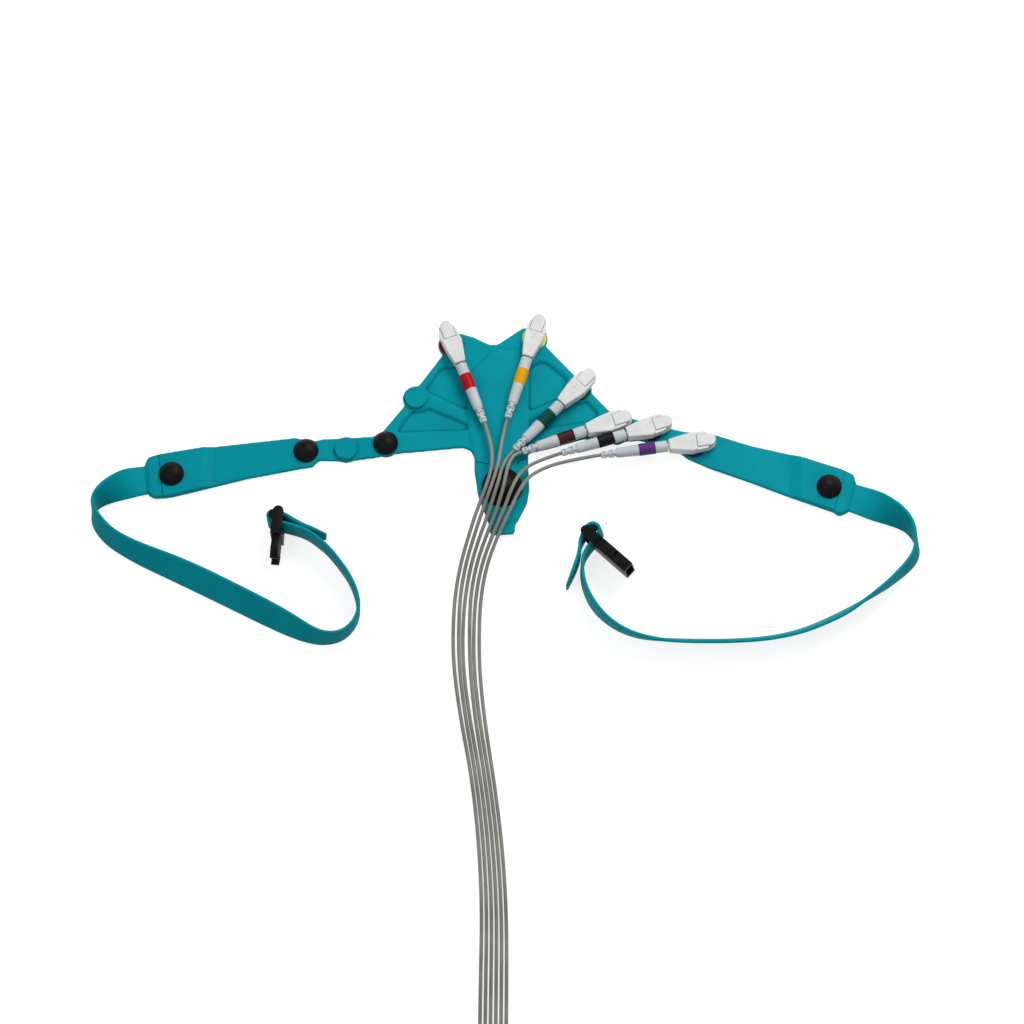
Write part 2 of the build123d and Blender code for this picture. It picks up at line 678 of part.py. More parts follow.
# Banana plugs: all radii are turned about the socket's axis, from the collar back to the lead
plug_front = -clip_back - plug_gap
band_front = plug_front - plug_collar
band_back = band_front - band_length
tail_back = band_back - plug_tail
relief_back = tail_back - relief_length
groove_radius = band_radius - band_wall


def turned(base, profile):
    """Half section in the clip's upright plane, from distances along the clip and radii."""
    with BuildSketch(side_plane(base)) as section:
        with BuildLine():
            Polyline(*[(x, socket_height + radius) for x, radius in profile], close=True)
        make_face()
    return section.sketch


def socket_axis(base):
    """The line that a clip's socket, its plug and the plug's relief share."""
    return Axis(along_clip(base, 0, socket_height), base.x_dir)


def relief_profile():
    """Half section of a ribbed relief that tapers to the lead."""
    profile = [(tail_back, 0), (tail_back, plug_tail_radius - edge_break)]
    pitch = relief_length / relief_rib_count
    for rib in range(relief_rib_count):
        share = rib / (relief_rib_count - 1)
        radius = plug_tail_radius - edge_break + (relief_end_radius - plug_tail_radius + edge_break) * share
        x = tail_back - pitch * rib
        profile += [(x - pitch / 2, radius), (x - pitch / 2, radius - relief_rib_depth)]
        profile += [(x - pitch, radius - relief_rib_depth)]
        if rib < relief_rib_count - 1:
            profile += [(x - pitch, radius)]
    return profile + [(relief_back, 0)]


for lead, base in clip_bases.items():
    with BuildPart() as plug_body:
        section = turned(base, [
            (plug_front, plug_pin_radius), (plug_front, plug_radius - edge_break),
            (plug_front - edge_break, plug_radius), (band_front, plug_radius), (band_front, groove_radius),
            (band_back, groove_radius), (band_back, plug_radius), (tail_back, plug_tail_radius),
            (tail_back, 0), (band_front, 0), (band_front, plug_pin_radius),
        ])
        revolve(section, axis=socket_axis(base))
    plug_body.part.label = f"plug_body_{lead}"
    export_step(plug_body.part, f"parts/plug_body_{lead}.step")

    with BuildPart() as plug_band:
        section = turned(base, [
            (band_front, groove_radius), (band_front, band_radius),
            (band_back, band_radius), (band_back, groove_radius),
        ])
        revolve(section, axis=socket_axis(base))
    plug_band.part.label = f"plug_band_{lead}"
    export_step(plug_band.part, f"parts/plug_band_{lead}.step")

with BuildPart() as plug_pins:
    for base in clip_bases.values():
        pin_tip = plug_front + plug_pin_length
        section = turned(base, [
            (band_front, 0), (band_front, plug_pin_radius), (pin_tip - plug_pin_tip, plug_pin_radius),
            (pin_tip, plug_pin_radius - plug_pin_tip), (pin_tip, 0),
        ])
        revolve(section, axis=socket_axis(base))
plug_pins.part.label = "plug_pins"
export_step(plug_pins.part, "parts/plug_pins.step")

with BuildPart() as strain_reliefs:
    for base in clip_bases.values():
        revolve(turned(base, relief_profile()), axis=socket_axis(base))
strain_reliefs.part.label = "strain_reliefs"
export_step(strain_reliefs.part, "parts/strain_reliefs.step")


def floor_plane(bar, bearing):
    """Floor plane under a buckle's bar: X away from the bar."""
    return Plane(origin=(*bar, 0), x_dir=heading(bearing), z_dir=(0, 0, 1))


def middle_plane(bar, bearing, offset):
    """Upright plane through the middle of a buckle half, to the left of its bar by the offset: Y up."""
    floor = floor_plane(bar, bearing)
    return Plane(origin=floor.origin + floor.y_dir * offset, x_dir=floor.x_dir, z_dir=-floor.y_dir)


def rail_plan(plane, offset):
    """Plan of a rail: a round head beside the bar, an ear on the bar, and square where it meets the base."""
    with BuildSketch(plane) as plan:
        Circle(bar_ear_radius)
        with Locations((-buckle_head_back, offset)):
            Circle(buckle_head)
            Rectangle(buckle_head_back + buckle_base, 2 * buckle_head, align=(Align.MIN, Align.CENTER))
    return plan.sketch


half_buckle = buckle_thickness / 2
prong_half = half_buckle - female_wall - running_gap
prong_inset = press_pad_rise + mouth_lip + running_gap
barb_inset = press_pad_rise + female_wall + running_gap
male_floor = floor_plane(left_bar, male_bearing)
male_side = middle_plane(left_bar, male_bearing, buckle_offset)
female_floor = floor_plane(right_bar, female_bearing)
female_side = middle_plane(right_bar, female_bearing, -buckle_offset)

with BuildPart() as male_buckle:
    for height in (0, buckle_height - rail_thickness):
        extrude(rail_plan(male_floor.offset(height), buckle_offset), amount=rail_thickness)
    with BuildSketch(male_floor):
        Circle(buckle_bar_radius)
    extrude(amount=buckle_height)
    with BuildSketch(male_side):
        with Locations((buckle_base, 0)):
            Rectangle(male_base_length, buckle_height, align=(Align.MIN, Align.MIN))
    extrude(amount=half_buckle, both=True)
    prong_start = buckle_base + male_base_length
    barb_start = male_reach - barb_length
    barb_slope = barb_start + barb_length / 3
    with BuildSketch(male_side):
        with BuildLine():
            Polyline(
                (prong_start, buckle_height - prong_inset), (barb_start, buckle_height - prong_inset),
                (barb_start, buckle_height - barb_inset), (barb_slope, buckle_height - barb_inset),
                (male_reach, buckle_height - barb_tip), (male_reach, buckle_height - barb_tip - prong_root / 2),
                (barb_start, buckle_height - prong_inset - prong_root),
                (prong_start, buckle_height - prong_inset - prong_root), close=True,
            )
        make_face()
        mirror(about=Plane.XZ.offset(-buckle_middle))
        with Locations((prong_start, buckle_middle)):
            Rectangle(barb_slope - prong_start, guide_width, align=(Align.MIN, Align.CENTER))
    extrude(amount=prong_half, both=True)
male_buckle.part.label = "male_buckle"
export_step(male_buckle.part, "parts/male_buckle.step")

with BuildPart() as female_buckle:
    for height in (0, buckle_height - rail_thickness):
        extrude(rail_plan(leaned(female_floor.offset(height)), -buckle_offset), amount=rail_thickness)
    with BuildSketch(leaned(female_floor)):
        Circle(buckle_bar_radius)
    extrude(amount=buckle_height)
    # The box, a waist behind its press pads, and the pads on both narrow edges
    body_height = buckle_height - 2 * press_pad_rise
    with BuildSketch(leaned(female_side)):
        with Locations(((buckle_base + female_reach) / 2, buckle_middle)):
            Rectangle(female_reach - buckle_base, body_height)
        with Locations(((waist_start + waist_end) / 2, 0), ((waist_start + waist_end) / 2, buckle_height)):
            Rectangle(waist_end - waist_start, 2 * waist_depth, mode=Mode.SUBTRACT)
    extrude(amount=half_buckle, both=True)
    with BuildSketch(leaned(female_side)):
        for near, far in (press_pad_ends[:2], press_pad_ends[2:]):
            with Locations(((near + far) / 2, buckle_middle)):
                Rectangle(far - near, buckle_height)
    extrude(amount=press_pad_width / 2, both=True)
    # The cavity, narrower at the mouth so that the barbs catch behind its lips
    cavity_start = buckle_base + female_back
    lip_start = female_reach - mouth_length
    with BuildSketch(leaned(female_side)):
        with Locations((cavity_start, buckle_middle)):
            Rectangle(lip_start - cavity_start, body_height - 2 * female_wall, align=(Align.MIN, Align.CENTER))
            Rectangle(female_reach, body_height - 2 * mouth_lip, align=(Align.MIN, Align.CENTER))
    extrude(amount=half_buckle - female_wall, both=True, mode=Mode.SUBTRACT)
female_buckle.part.label = "female_buckle"
export_step(female_buckle.part, "parts/female_buckle.step")

# Lead routes, each from its relief over the centre cap and down to the floor: shares of the lead grid
lead_route_shares = {
    "v1": [(-0.70, 2.65, 1.01), (-0.72, 1.30, 1.29), (-1.00, 0.15, 1.43), (-1.40, -1.00, 1.33),
           (-1.90, -2.25, 0.95), (-2.40, -3.80, 0.59), (-2.92, -5.60, 0.23), (-3.32, -7.80, 0),
           (-3.48, -10.40, 0), (-3.43, -13.40, 0), (-2.91, -17.20, 0), (-2.15, -21.20, 0),
           (-1.62, -25.80, 0), (-1.35, -30.80, 0), (-1.45, -36.40, 0), (-1.50, -42.00, 0)],
    "v2": [(-0.08, 3.00, 0.99), (-0.24, 1.60, 1.31), (-0.58, 0.30, 1.57), (-0.98, -0.90, 1.47),
           (-1.46, -2.20, 1.07), (-2.00, -3.80, 0.63), (-2.56, -5.65, 0.23), (-2.96, -7.90, 0),
           (-3.08, -10.50, 0), (-3.03, -13.50, 0), (-2.55, -17.30, 0), (-1.83, -21.30, 0),
           (-1.29, -25.90, 0), (-1.01, -30.90, 0), (-1.09, -36.50, 0), (-1.14, -42.00, 0)],
    "v3": [(0.22, 1.86, 0.81), (-0.04, 1.15, 1.19), (-0.22, 0.15, 1.61), (-0.54, -0.90, 1.57),
           (-0.96, -2.20, 1.11), (-1.58, -3.80, 0.63), (-2.19, -5.70, 0.23), (-2.60, -8.00, 0),
           (-2.79, -10.60, 0), (-2.74, -13.60, 0), (-2.24, -17.40, 0), (-1.51, -21.40, 0),
           (-0.96, -26.00, 0), (-0.67, -31.00, 0), (-0.73, -36.60, 0), (-0.78, -42.00, 0)],
    "v4": [(0.66, 1.92, 1.11), (0.40, 1.25, 1.37), (0.26, 0.35, 1.64), (0.02, -0.75, 1.65),
           (-0.44, -2.15, 1.15), (-1.12, -3.75, 0.64), (-1.82, -5.75, 0.23), (-2.24, -8.10, 0),
           (-2.31, -10.70, 0), (-2.25, -13.70, 0), (-1.85, -17.50, 0), (-1.19, -21.50, 0),
           (-0.63, -26.10, 0), (-0.33, -31.10, 0), (-0.37, -36.70, 0), (-0.42, -42.00, 0)],
    "v5": [(2.08, 1.58, 1.01), (1.20, 0.64, 1.41), (0.66, -0.55, 1.57), (0.14, -1.95, 1.21),
           (-0.66, -3.70, 0.67), (-1.45, -5.80, 0.23), (-1.88, -8.20, 0), (-2.01, -10.80, 0),
           (-1.97, -13.80, 0), (-1.54, -17.60, 0), (-0.87, -21.60, 0), (-0.30, -26.20, 0),
           (0.01, -31.20, 0), (-0.01, -36.80, 0), (-0.06, -42.00, 0)],
    "v6": [(4.20, 1.78, 0.77), (2.95, 1.26, 0.95), (1.90, 0.50, 1.23), (1.24, -0.55, 1.39),
           (0.64, -1.85, 1.17), (-0.24, -3.65, 0.69), (-1.09, -5.85, 0.23), (-1.52, -8.30, 0),
           (-1.62, -10.90, 0), (-1.57, -13.90, 0), (-1.17, -17.70, 0), (-0.55, -21.70, 0),
           (0.03, -26.30, 0), (0.35, -31.30, 0), (0.35, -36.90, 0), (0.30, -42.00, 0)],
}
coil_start_y = coil_centre_y + cord_diameter
# A jacket of eight flats keeps the long sweeps light
cord_section = cord_sides / 2 * cord_radius ** 2 * math.sin(2 * math.pi / cord_sides)


def corner_radii(points):
    """The largest arc that both runs beside each corner have room for."""
    radii = []
    for before, corner, after in zip(points, points[1:], points[2:]):
        run_in = Vector(*corner) - Vector(*before)
        run_out = Vector(*after) - Vector(*corner)
        half_turn = math.radians(run_in.get_angle(run_out)) / 2
        radii.append(corner_room_share * min(run_in.length, run_out.length) / math.tan(half_turn))
    return radii


for index, (lead, shares) in enumerate(lead_route_shares.items()):
    route = [(x * lead_grid, y * lead_grid, cord_radius + rise * lead_grid) for x, y, rise in shares]
    relief_end = along_clip(clip_bases[lead], relief_back, socket_height)
    coil_x = coil_centre_x + coil_inner_radius + lead_pitch * index
    lead_out_end = along_clip(clip_bases[lead], relief_back - lead_out, socket_height)
    points = [tuple(relief_end), tuple(lead_out_end), *route, (coil_x, coil_start_y, cord_radius)]
    radii = corner_radii(points)
    with BuildPart() as lead_cord:
        with BuildLine() as path:
            FilletPolyline(*points, radius=radii)
        cord_line = path.wires()[0]
        with BuildSketch(Plane(origin=cord_line @ 0, z_dir=cord_line % 0)):
            RegularPolygon(cord_radius, cord_sides)
        sweep(path=cord_line)
    length = cord_line.length
    print(lead, "radii", [round(radius) for radius in radii], "length", round(length, 1),
          "volume over section times length", round(lead_cord.part.volume / (cord_section * length), 5))
    lead_cord.part.label = f"lead_cord_{lead}"
    export_step(lead_cord.part, f"parts/lead_cord_{lead}.step")

    radius = coil_inner_radius + lead_pitch * index
    inner = radius - coil_step
    with BuildPart() as lead_coil:
        with BuildLine(Plane.XY.offset(cord_radius)) as turn_path:
            Line((coil_x, coil_start_y), (coil_x, coil_centre_y))
            for start in (0, -90):
                CenterArc((coil_centre_x, coil_centre_y), radius, start, -90)
            for start in (180, 90):
                CenterArc((coil_centre_x - coil_step, coil_centre_y), inner, start, -90)
            end_x = coil_x - 2 * coil_step
            Line((end_x, coil_centre_y), (end_x, coil_centre_y - cord_diameter))
        turn_line = turn_path.wires()[0]
        with BuildSketch(Plane(origin=(coil_x, coil_start_y, cord_radius), z_dir=(0, -1, 0))):
            RegularPolygon(cord_radius, cord_sides)
        sweep(path=turn_line)
    length = turn_line.length
    print(lead, "coil length", round(length, 1), "least gap to itself",
          round(2 * coil_step - cord_diameter, 2), "volume over section times length",
          round(lead_coil.part.volume / (cord_section * length), 5))
    lead_coil.part.label = f"lead_coil_{lead}"
    export_step(lead_coil.part, f"parts/lead_coil_{lead}.step")

block_back = coil_centre_y - cord_diameter
block_front = block_back - block_length
block_span = lead_pitch * (len(chest_leads) - 1)
block_width = block_span + cord_diameter + 2 * block_margin
block_x = coil_centre_x + coil_inner_radius + block_span / 2 - 2 * coil_step
wire_places = [(block_x - block_span / 2 + lead_pitch * index) for index in range(len(chest_leads))]

with BuildPart() as lead_connector:
    with BuildSketch(Plane((block_x, block_back, 0))):
        Rectangle(block_width, block_length, align=(Align.CENTER, Align.MAX))
    extrude(amount=block_height)
    fillet(lead_connector.edges().filter_by(Axis.Z), block_round)
    fillet(lead_connector.faces().sort_by(Axis.Z)[-1].edges(), block_round)
    with BuildSketch(Plane((block_x, block_back - block_length / 2, block_height))):
        with GridLocations(0, block_length / 6, 1, 3):
            Rectangle(block_width - 4 * block_round, block_groove)
    extrude(amount=-block_groove, mode=Mode.SUBTRACT)
    with BuildSketch(Plane(origin=(0, block_front, connector_pin_height), x_dir=(1, 0, 0), z_dir=(0, -1, 0))):
        with Locations(*[(x, 0) for x in wire_places]):
            Circle(connector_seat_radius)
    extrude(amount=-connector_pin_seat, mode=Mode.SUBTRACT)
lead_connector.part.label = "lead_connector"
export_step(lead_connector.part, "parts/lead_connector.step")

with BuildPart() as connector_pins:
    pin_seat = (0, block_front + connector_pin_seat, connector_pin_height)
    with BuildSketch(Plane(origin=pin_seat, x_dir=(1, 0, 0), z_dir=(0, -1, 0))):
        with Locations(*[(x, 0) for x in wire_places]):
            Circle(connector_seat_radius)
    extrude(amount=connector_pin_seat)
    with BuildSketch(Plane(origin=(0, block_front, connector_pin_height), x_dir=(1, 0, 0), z_dir=(0, -1, 0))):
        with Locations(*[(x, 0) for x in wire_places]):
            Circle(connector_pin_radius)
    extrude(amount=connector_pin_length)
connector_pins.part.label = "connector_pins"
export_step(connector_pins.part, "parts/connector_pins.step")
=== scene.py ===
"""Dresses the ecg belt: silicone moulding, straps, press clips, plugs and lead wires, on a plain stage."""
import math

import bpy
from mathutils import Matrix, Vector


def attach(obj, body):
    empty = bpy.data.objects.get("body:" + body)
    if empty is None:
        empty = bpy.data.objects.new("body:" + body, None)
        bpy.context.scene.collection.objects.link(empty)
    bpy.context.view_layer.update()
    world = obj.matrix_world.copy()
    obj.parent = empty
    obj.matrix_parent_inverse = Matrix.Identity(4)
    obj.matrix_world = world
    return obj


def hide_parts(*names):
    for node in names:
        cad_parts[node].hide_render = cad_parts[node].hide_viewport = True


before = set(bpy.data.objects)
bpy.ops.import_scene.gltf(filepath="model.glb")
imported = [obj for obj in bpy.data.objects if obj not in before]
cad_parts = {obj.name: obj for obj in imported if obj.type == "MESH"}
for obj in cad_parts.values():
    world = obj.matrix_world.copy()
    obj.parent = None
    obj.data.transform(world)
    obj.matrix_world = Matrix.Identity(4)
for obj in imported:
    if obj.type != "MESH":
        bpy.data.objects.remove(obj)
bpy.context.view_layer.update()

bl_info = {
    "name": "ECG belt",
    "version": (1, 0, 0),
    "blender": (4, 5, 0),
    "location": "View3D > Sidebar > ECG belt",
    "description": "Dresses the packed chest belt with its straps, press clips, plugs and lead wires",
    "category": "Object",
}

MM = 0.001
LEADS = ("v1", "v2", "v3", "v4", "v5", "v6")

# Strap routes in millimetres: place, lean off upright in degrees, and height over the surface
LEFT_STRAP = [
    (-250.5, 7.0, 90, 2.375), (-259.5, 5.6, 90, 2.375), (-267.5, 3.3, 72, 1.5), (-276.0, -0.6, 48, 0.75),
    (-285.5, -6.2, 27, 0.25), (-291.4, -12.2, 10, 0), (-293.4, -18.6, -4, 0), (-291.6, -25.2, -15, 0),
    (-287.4, -32.0, -19, 0), (-280.5, -39.5, -21, 0), (-270.2, -46.2, -23, 0), (-257.0, -53.0, -29, 0),
    (-237.0, -61.4, -38, 0), (-216.5, -70.9, -43, 0), (-193.5, -82.6, -42, 0), (-169.0, -95.4, -40, 0),
    (-152.0, -104.6, -33, 0), (-139.2, -111.6, -20, 0), (-127.0, -116.0, -8, 0), (-114.8, -114.8, 0, 0),
    (-106.2, -108.0, 3, 0), (-101.4, -97.6, 3, 0), (-102.4, -85.6, 2, 0.25), (-107.6, -72.6, 0, 0.75),
    (-115.6, -60.8, 0, 1.375), (-124.0, -50.5, 0, 2), (-133.5, -42.5, 0, 2.5), (-142.0, -36.8, 0, 2.5),
]
RIGHT_STRAP = [
    (246.0, -5.5, -90, 2.375), (256.5, -8.9, -90, 2.375), (266.0, -13.4, -72, 1.5), (274.8, -18.2, -48, 0.75),
    (281.6, -22.2, -34, 0.25), (287.0, -26.2, -21, 0), (291.3, -30.6, -10, 0), (294.2, -36.0, -1, 0),
    (296.2, -42.4, 8, 0), (296.6, -49.2, 12, 0), (294.0, -56.0, 10, 0), (288.6, -62.6, 6, 0),
    (281.4, -69.4, 2, 0), (272.5, -77.2, -4, 0),
    (251.0, -92.0, -16, 0), (240.0, -98.5, -20, 0), (227.5, -104.5, -20, 0),
    (214.0, -110.0, -20, 0), (199.0, -114.0, -20, 0), (183.0, -116.5, -20, 0), (163.0, -117.8, -20, 0),
    (142.5, -118.0, -20, 0), (122.0, -117.5, -20, 0), (108.0, -116.3, -16, 0), (95.5, -113.8, -12, 0),
    (84.0, -109.0, -8, 0), (73.5, -101.3, -4, 0), (65.5, -92.0, 0, 0), (60.3, -82.0, 0, 0),
    (57.5, -72.0, 0, 0.1), (57.0, -62.0, 0, 0.4), (59.0, -53.5, 0, 0.8),
]

# Lead routes, from each plug's relief over the centre cap and down to the floor, in steps of the grid.
# The last number is the height over a lead that lies on the floor
LEAD_GRID = 0.010
LEAD_ROUTES = {
    "v1": [(-0.70, 2.65, 1.01), (-0.72, 1.30, 1.29), (-1.00, 0.15, 1.43), (-1.40, -1.00, 1.33),
           (-1.90, -2.25, 0.95), (-2.40, -3.80, 0.59), (-2.92, -5.60, 0.23), (-3.32, -7.80, 0),
           (-3.48, -10.40, 0), (-3.43, -13.40, 0), (-2.91, -17.20, 0), (-2.15, -21.20, 0),
           (-1.62, -25.80, 0), (-1.35, -30.80, 0), (-1.45, -36.40, 0), (-1.50, -42.00, 0)],
    "v2": [(-0.08, 3.00, 0.99), (-0.24, 1.60, 1.31), (-0.58, 0.30, 1.57), (-0.98, -0.90, 1.47),
           (-1.46, -2.20, 1.07), (-2.00, -3.80, 0.63), (-2.56, -5.65, 0.23), (-2.96, -7.90, 0),
           (-3.08, -10.50, 0), (-3.03, -13.50, 0), (-2.55, -17.30, 0), (-1.83, -21.30, 0),
           (-1.29, -25.90, 0), (-1.01, -30.90, 0), (-1.09, -36.50, 0), (-1.14, -42.00, 0)],
    "v3": [(0.22, 1.86, 0.81), (-0.04, 1.15, 1.19), (-0.22, 0.15, 1.61), (-0.54, -0.90, 1.57),
           (-0.96, -2.20, 1.11), (-1.58, -3.80, 0.63), (-2.19, -5.70, 0.23), (-2.60, -8.00, 0),
           (-2.79, -10.60, 0), (-2.74, -13.60, 0), (-2.24, -17.40, 0), (-1.51, -21.40, 0),
           (-0.96, -26.00, 0), (-0.67, -31.00, 0), (-0.73, -36.60, 0), (-0.78, -42.00, 0)],
    "v4": [(0.66, 1.92, 1.11), (0.40, 1.25, 1.37), (0.26, 0.35, 1.64), (0.02, -0.75, 1.65),
           (-0.44, -2.15, 1.15), (-1.12, -3.75, 0.64), (-1.82, -5.75, 0.23), (-2.24, -8.10, 0),
           (-2.31, -10.70, 0), (-2.25, -13.70, 0), (-1.85, -17.50, 0), (-1.19, -21.50, 0),
           (-0.63, -26.10, 0), (-0.33, -31.10, 0), (-0.37, -36.70, 0), (-0.42, -42.00, 0)],
    "v5": [(2.08, 1.58, 1.01), (1.20, 0.64, 1.41), (0.66, -0.55, 1.57), (0.14, -1.95, 1.21),
           (-0.66, -3.70, 0.67), (-1.45, -5.80, 0.23), (-1.88, -8.20, 0), (-2.01, -10.80, 0),
           (-1.97, -13.80, 0), (-1.54, -17.60, 0), (-0.87, -21.60, 0), (-0.30, -26.20, 0),
           (0.01, -31.20, 0), (-0.01, -36.80, 0), (-0.06, -42.00, 0)],
    "v6": [(4.20, 1.78, 0.77), (2.95, 1.26, 0.95), (1.90, 0.50, 1.23), (1.24, -0.55, 1.39),
           (0.64, -1.85, 1.17), (-0.24, -3.65, 0.69), (-1.09, -5.85, 0.23), (-1.52, -8.30, 0),
           (-1.62, -10.90, 0), (-1.57, -13.90, 0), (-1.17, -17.70, 0), (-0.55, -21.70, 0),
           (0.03, -26.30, 0), (0.35, -31.30, 0), (0.35, -36.90, 0), (0.30, -42.00, 0)],
}
# Chest clips: the snap stud's place in millimetres and the clip's bearing in degrees
CLIPS = {
    "v1": (-37.0, 111.875, 110.8), "v2": (23.625, 117.0, 73.2), "v3": (55.5, 76.75, 46.8),
    "v4": (78.625, 48.5, 19.5), "v5": (107.75, 45.125, 17.5), "v6": (138.625, 32.875, 8.2),
}
# Loose strap ends past the clasps, written as the routes are
LEFT_TAIL = [
    (-155.0, -26.6, 0, 2.5), (-149.5, -30.0, 0, 2.5), (-142.5, -34.2, 0, 2.2), (-134.0, -37.6, 0, 1.7),
    (-125.5, -40.2, 0, 1.2),
]
RIGHT_TAIL = [
    (55.8, -45.2, 0, 1.4), (55.4, -51.5, 0, 1.0), (54.2, -57.6, 0, 0.7), (51.0, -66.6, 0, 0.5),
    (46.3, -78.0, 0, 0.2),
]
# Clasp bars: place, the first and last degree of the strap's turn and its radius, then the clasp's bearing,
# its lean and its lift
LEFT_BAR = (-163.3, -27.6, -107.0, -297.0, 3.6, -94.5, 0.0, 0.0)
RIGHT_BAR = (65.7, -37.8, -34.0, 162.0, 5.0, -43.0, 10.0, 1.2)
BAR_STEP = 30
# Height of an upright clasp's middle, and how much of its thickness a strap keeps at its cut end
CLASP_MIDDLE = 13.3
STRAP_END_SHARE = 0.6
# Seams across the moulding: both ends and the height of the face that each is sunk in
SEAMS = [
    ((-248.0, 25.0), (-243.5, -8.8), 7.0), ((247.5, 12.5), (238.0, -21.0), 7.0),
    ((-19.0, 20.0), (-10.0, 18.3), 4.8), ((19.3, 22.5), (13.0, 20.8), 4.8), ((13.0, 20.8), (10.8, 18.3), 4.8),
]
SEAM_WIDTH = 0.6
SEAM_DEPTH = 0.9
# The moulding's remeshing, then the range of pointiness over which shade is painted into its folds, and the
# darkest share of that painted shade
MOULDING_VOXEL = 0.00088
MOULDING_SMOOTHING = 5
PAINTED_FOLD_RANGE = (0.462, 0.4975)
PAINTED_FOLD_SHADE = 0.35
# Strain reliefs in millimetres: their near and far ends behind the stud, their height, and the lead's
# straight run out of them
RELIEF_START = 56.0
RELIEF_REACH = 67.8
RELIEF_HEIGHT = 10.0
LEAD_OUT = 5.5
# One relief: its core from the lead's end to the plug's, its rings, and the bridges between them
RELIEF_LENGTH = 11.8
RELIEF_CORE = (1.65, 2.2)
RELIEF_RINGS = 5
RING_RADIUS = 3.15
RING_TAPER = 0.7
RING_DRAFT = 0.1
RELIEF_EASE = 0.12
BRIDGE_THIN = 0.8
BRIDGE_WIDE = 2.6
BRIDGE_SINK = 0.6
BRIDGE_SHARE = 0.7
# The leads' put-away turn: its centre and the step inwards of its second half in metres, and the degrees
# between its points
COIL_CENTRE = (-0.0645, -0.470)
COIL_STEP = 0.018
COIL_PART = 10
# Width of the clasp's eased edges, and weld distances for made curves and for carried nodes, in metres
CLASP_EASE = 0.00035
CURVE_WELD = 0.00001
NODE_WELD = 0.000005
# The stage: the floor's size and glow, the world's light, and the camera's elevation, aim and framing
FLOOR_SIZE = 12
FLOOR_GLOW = 0.77
WORLD_LIGHT = 0.42
CAMERA_ELEVATION = 70
CAMERA_AIM = (0.0072, -0.0169, 0)
CAMERA_SENSOR = 36
FRAMED_WIDTH = 0.7373
CAMERA_CLIP = 50


class EcgBeltSizes(bpy.types.PropertyGroup):
    """Sizes that a user of the belt would change."""

    strap_width: bpy.props.FloatProperty(
        name="Strap width", description="Width of the side straps", default=0.0216, unit="LENGTH")
    strap_thickness: bpy.props.FloatProperty(
        name="Strap thickness", description="Thickness of the side straps", default=0.0026, unit="LENGTH")
    lead_diameter: bpy.props.FloatProperty(
        name="Lead diameter", description="Diameter of a lead wire's jacket", default=0.0026,
        unit="LENGTH")
    lead_pitch: bpy.props.FloatProperty(
        name="Lead spacing", description="Distance between leads laid side by side", default=0.0036,
        unit="LENGTH")
    coil_radius: bpy.props.FloatProperty(
        name="Coil radius", description="Radius of the innermost lead's put-away turn", default=0.0495,
        unit="LENGTH")
    camera_distance: bpy.props.FloatProperty(
        name="Camera distance", description="Distance from the camera to the belt", default=2.6,
        unit="LENGTH")


class EcgBeltColours(bpy.types.PropertyGroup):
    """Colours of the belt's finishes."""

    silicone: bpy.props.FloatVectorProperty(
        name="Silicone", description="Moulded belt and straps", subtype="COLOR", size=3, min=0, max=1,
        default=(0.0, 0.30, 0.365))
    caps: bpy.props.FloatVectorProperty(
        name="Caps", description="Snap caps and clasp", subtype="COLOR", size=3, min=0, max=1,
        default=(0.006, 0.006, 0.007))
    clips: bpy.props.FloatVectorProperty(
        name="Clips", description="Press clips", subtype="COLOR", size=3, min=0, max=1,
        default=(0.72, 0.73, 0.725))
    plugs: bpy.props.FloatVectorProperty(
        name="Plugs", description="Plugs and strain reliefs", subtype="COLOR", size=3, min=0, max=1,
        default=(0.56, 0.60, 0.63))
    leads: bpy.props.FloatVectorProperty(
        name="Leads", description="Lead wire jackets", subtype="COLOR", size=3, min=0, max=1,
        default=(0.262, 0.257, 0.232))


# Coded colours of the plugs' bands and of the rings under the clips
BAND_COLOURS = {
    "v1": (0.46, 0.001, 0.012), "v2": (0.80, 0.355, 0.0), "v3": (0.0, 0.068, 0.05),
    "v4": (0.06, 0.016, 0.013), "v5": (0.006, 0.009, 0.014), "v6": (0.107, 0.034, 0.205),
}
DISC_COLOURS = {
    "v1": (0.22, 0.008, 0.014), "v2": (0.79, 0.79, 0.11), "v3": (0.0, 0.07, 0.035),
    "v4": (0.06, 0.018, 0.014), "v5": (0.01, 0.01, 0.013), "v6": (0.028, 0.018, 0.09),
}
# Colours that a user would leave as they are, and how much lighter the connector is than the caps
PAD_BLACK = (0.03, 0.03, 0.034)
NICKEL = (0.62, 0.6, 0.56)
PIN_STEEL = (0.55, 0.55, 0.55)
SPRING_STEEL = (0.4, 0.4, 0.41)
FLOOR_GREY = (0.5, 0.5, 0.5)
CONNECTOR_SHADE = 1.4


def deselect_all():
    """Leave nothing selected, because operators act on all that is."""
    if bpy.context.object and bpy.context.object.mode != "OBJECT":
        bpy.ops.object.mode_set(mode="OBJECT")
    bpy.ops.object.select_all(action="DESELECT")


def make_active(piece):
    """Select one piece alone."""
    deselect_all()
    piece.select_set(True)
    bpy.context.view_layer.objects.active = piece


def new_finish(name, colour, roughness, metallic=0.0):
    """A material with its shader and its own node tree."""
    finish = bpy.data.materials.new(name)
    finish.use_nodes = True
    shader = finish.node_tree.nodes["Principled BSDF"]
    shader.inputs["Base Color"].default_value = (*colour, 1)
    shader.inputs["Roughness"].default_value = roughness
    shader.inputs["Metallic"].default_value = metallic
    finish.diffuse_color = (*colour, 1)
    return finish


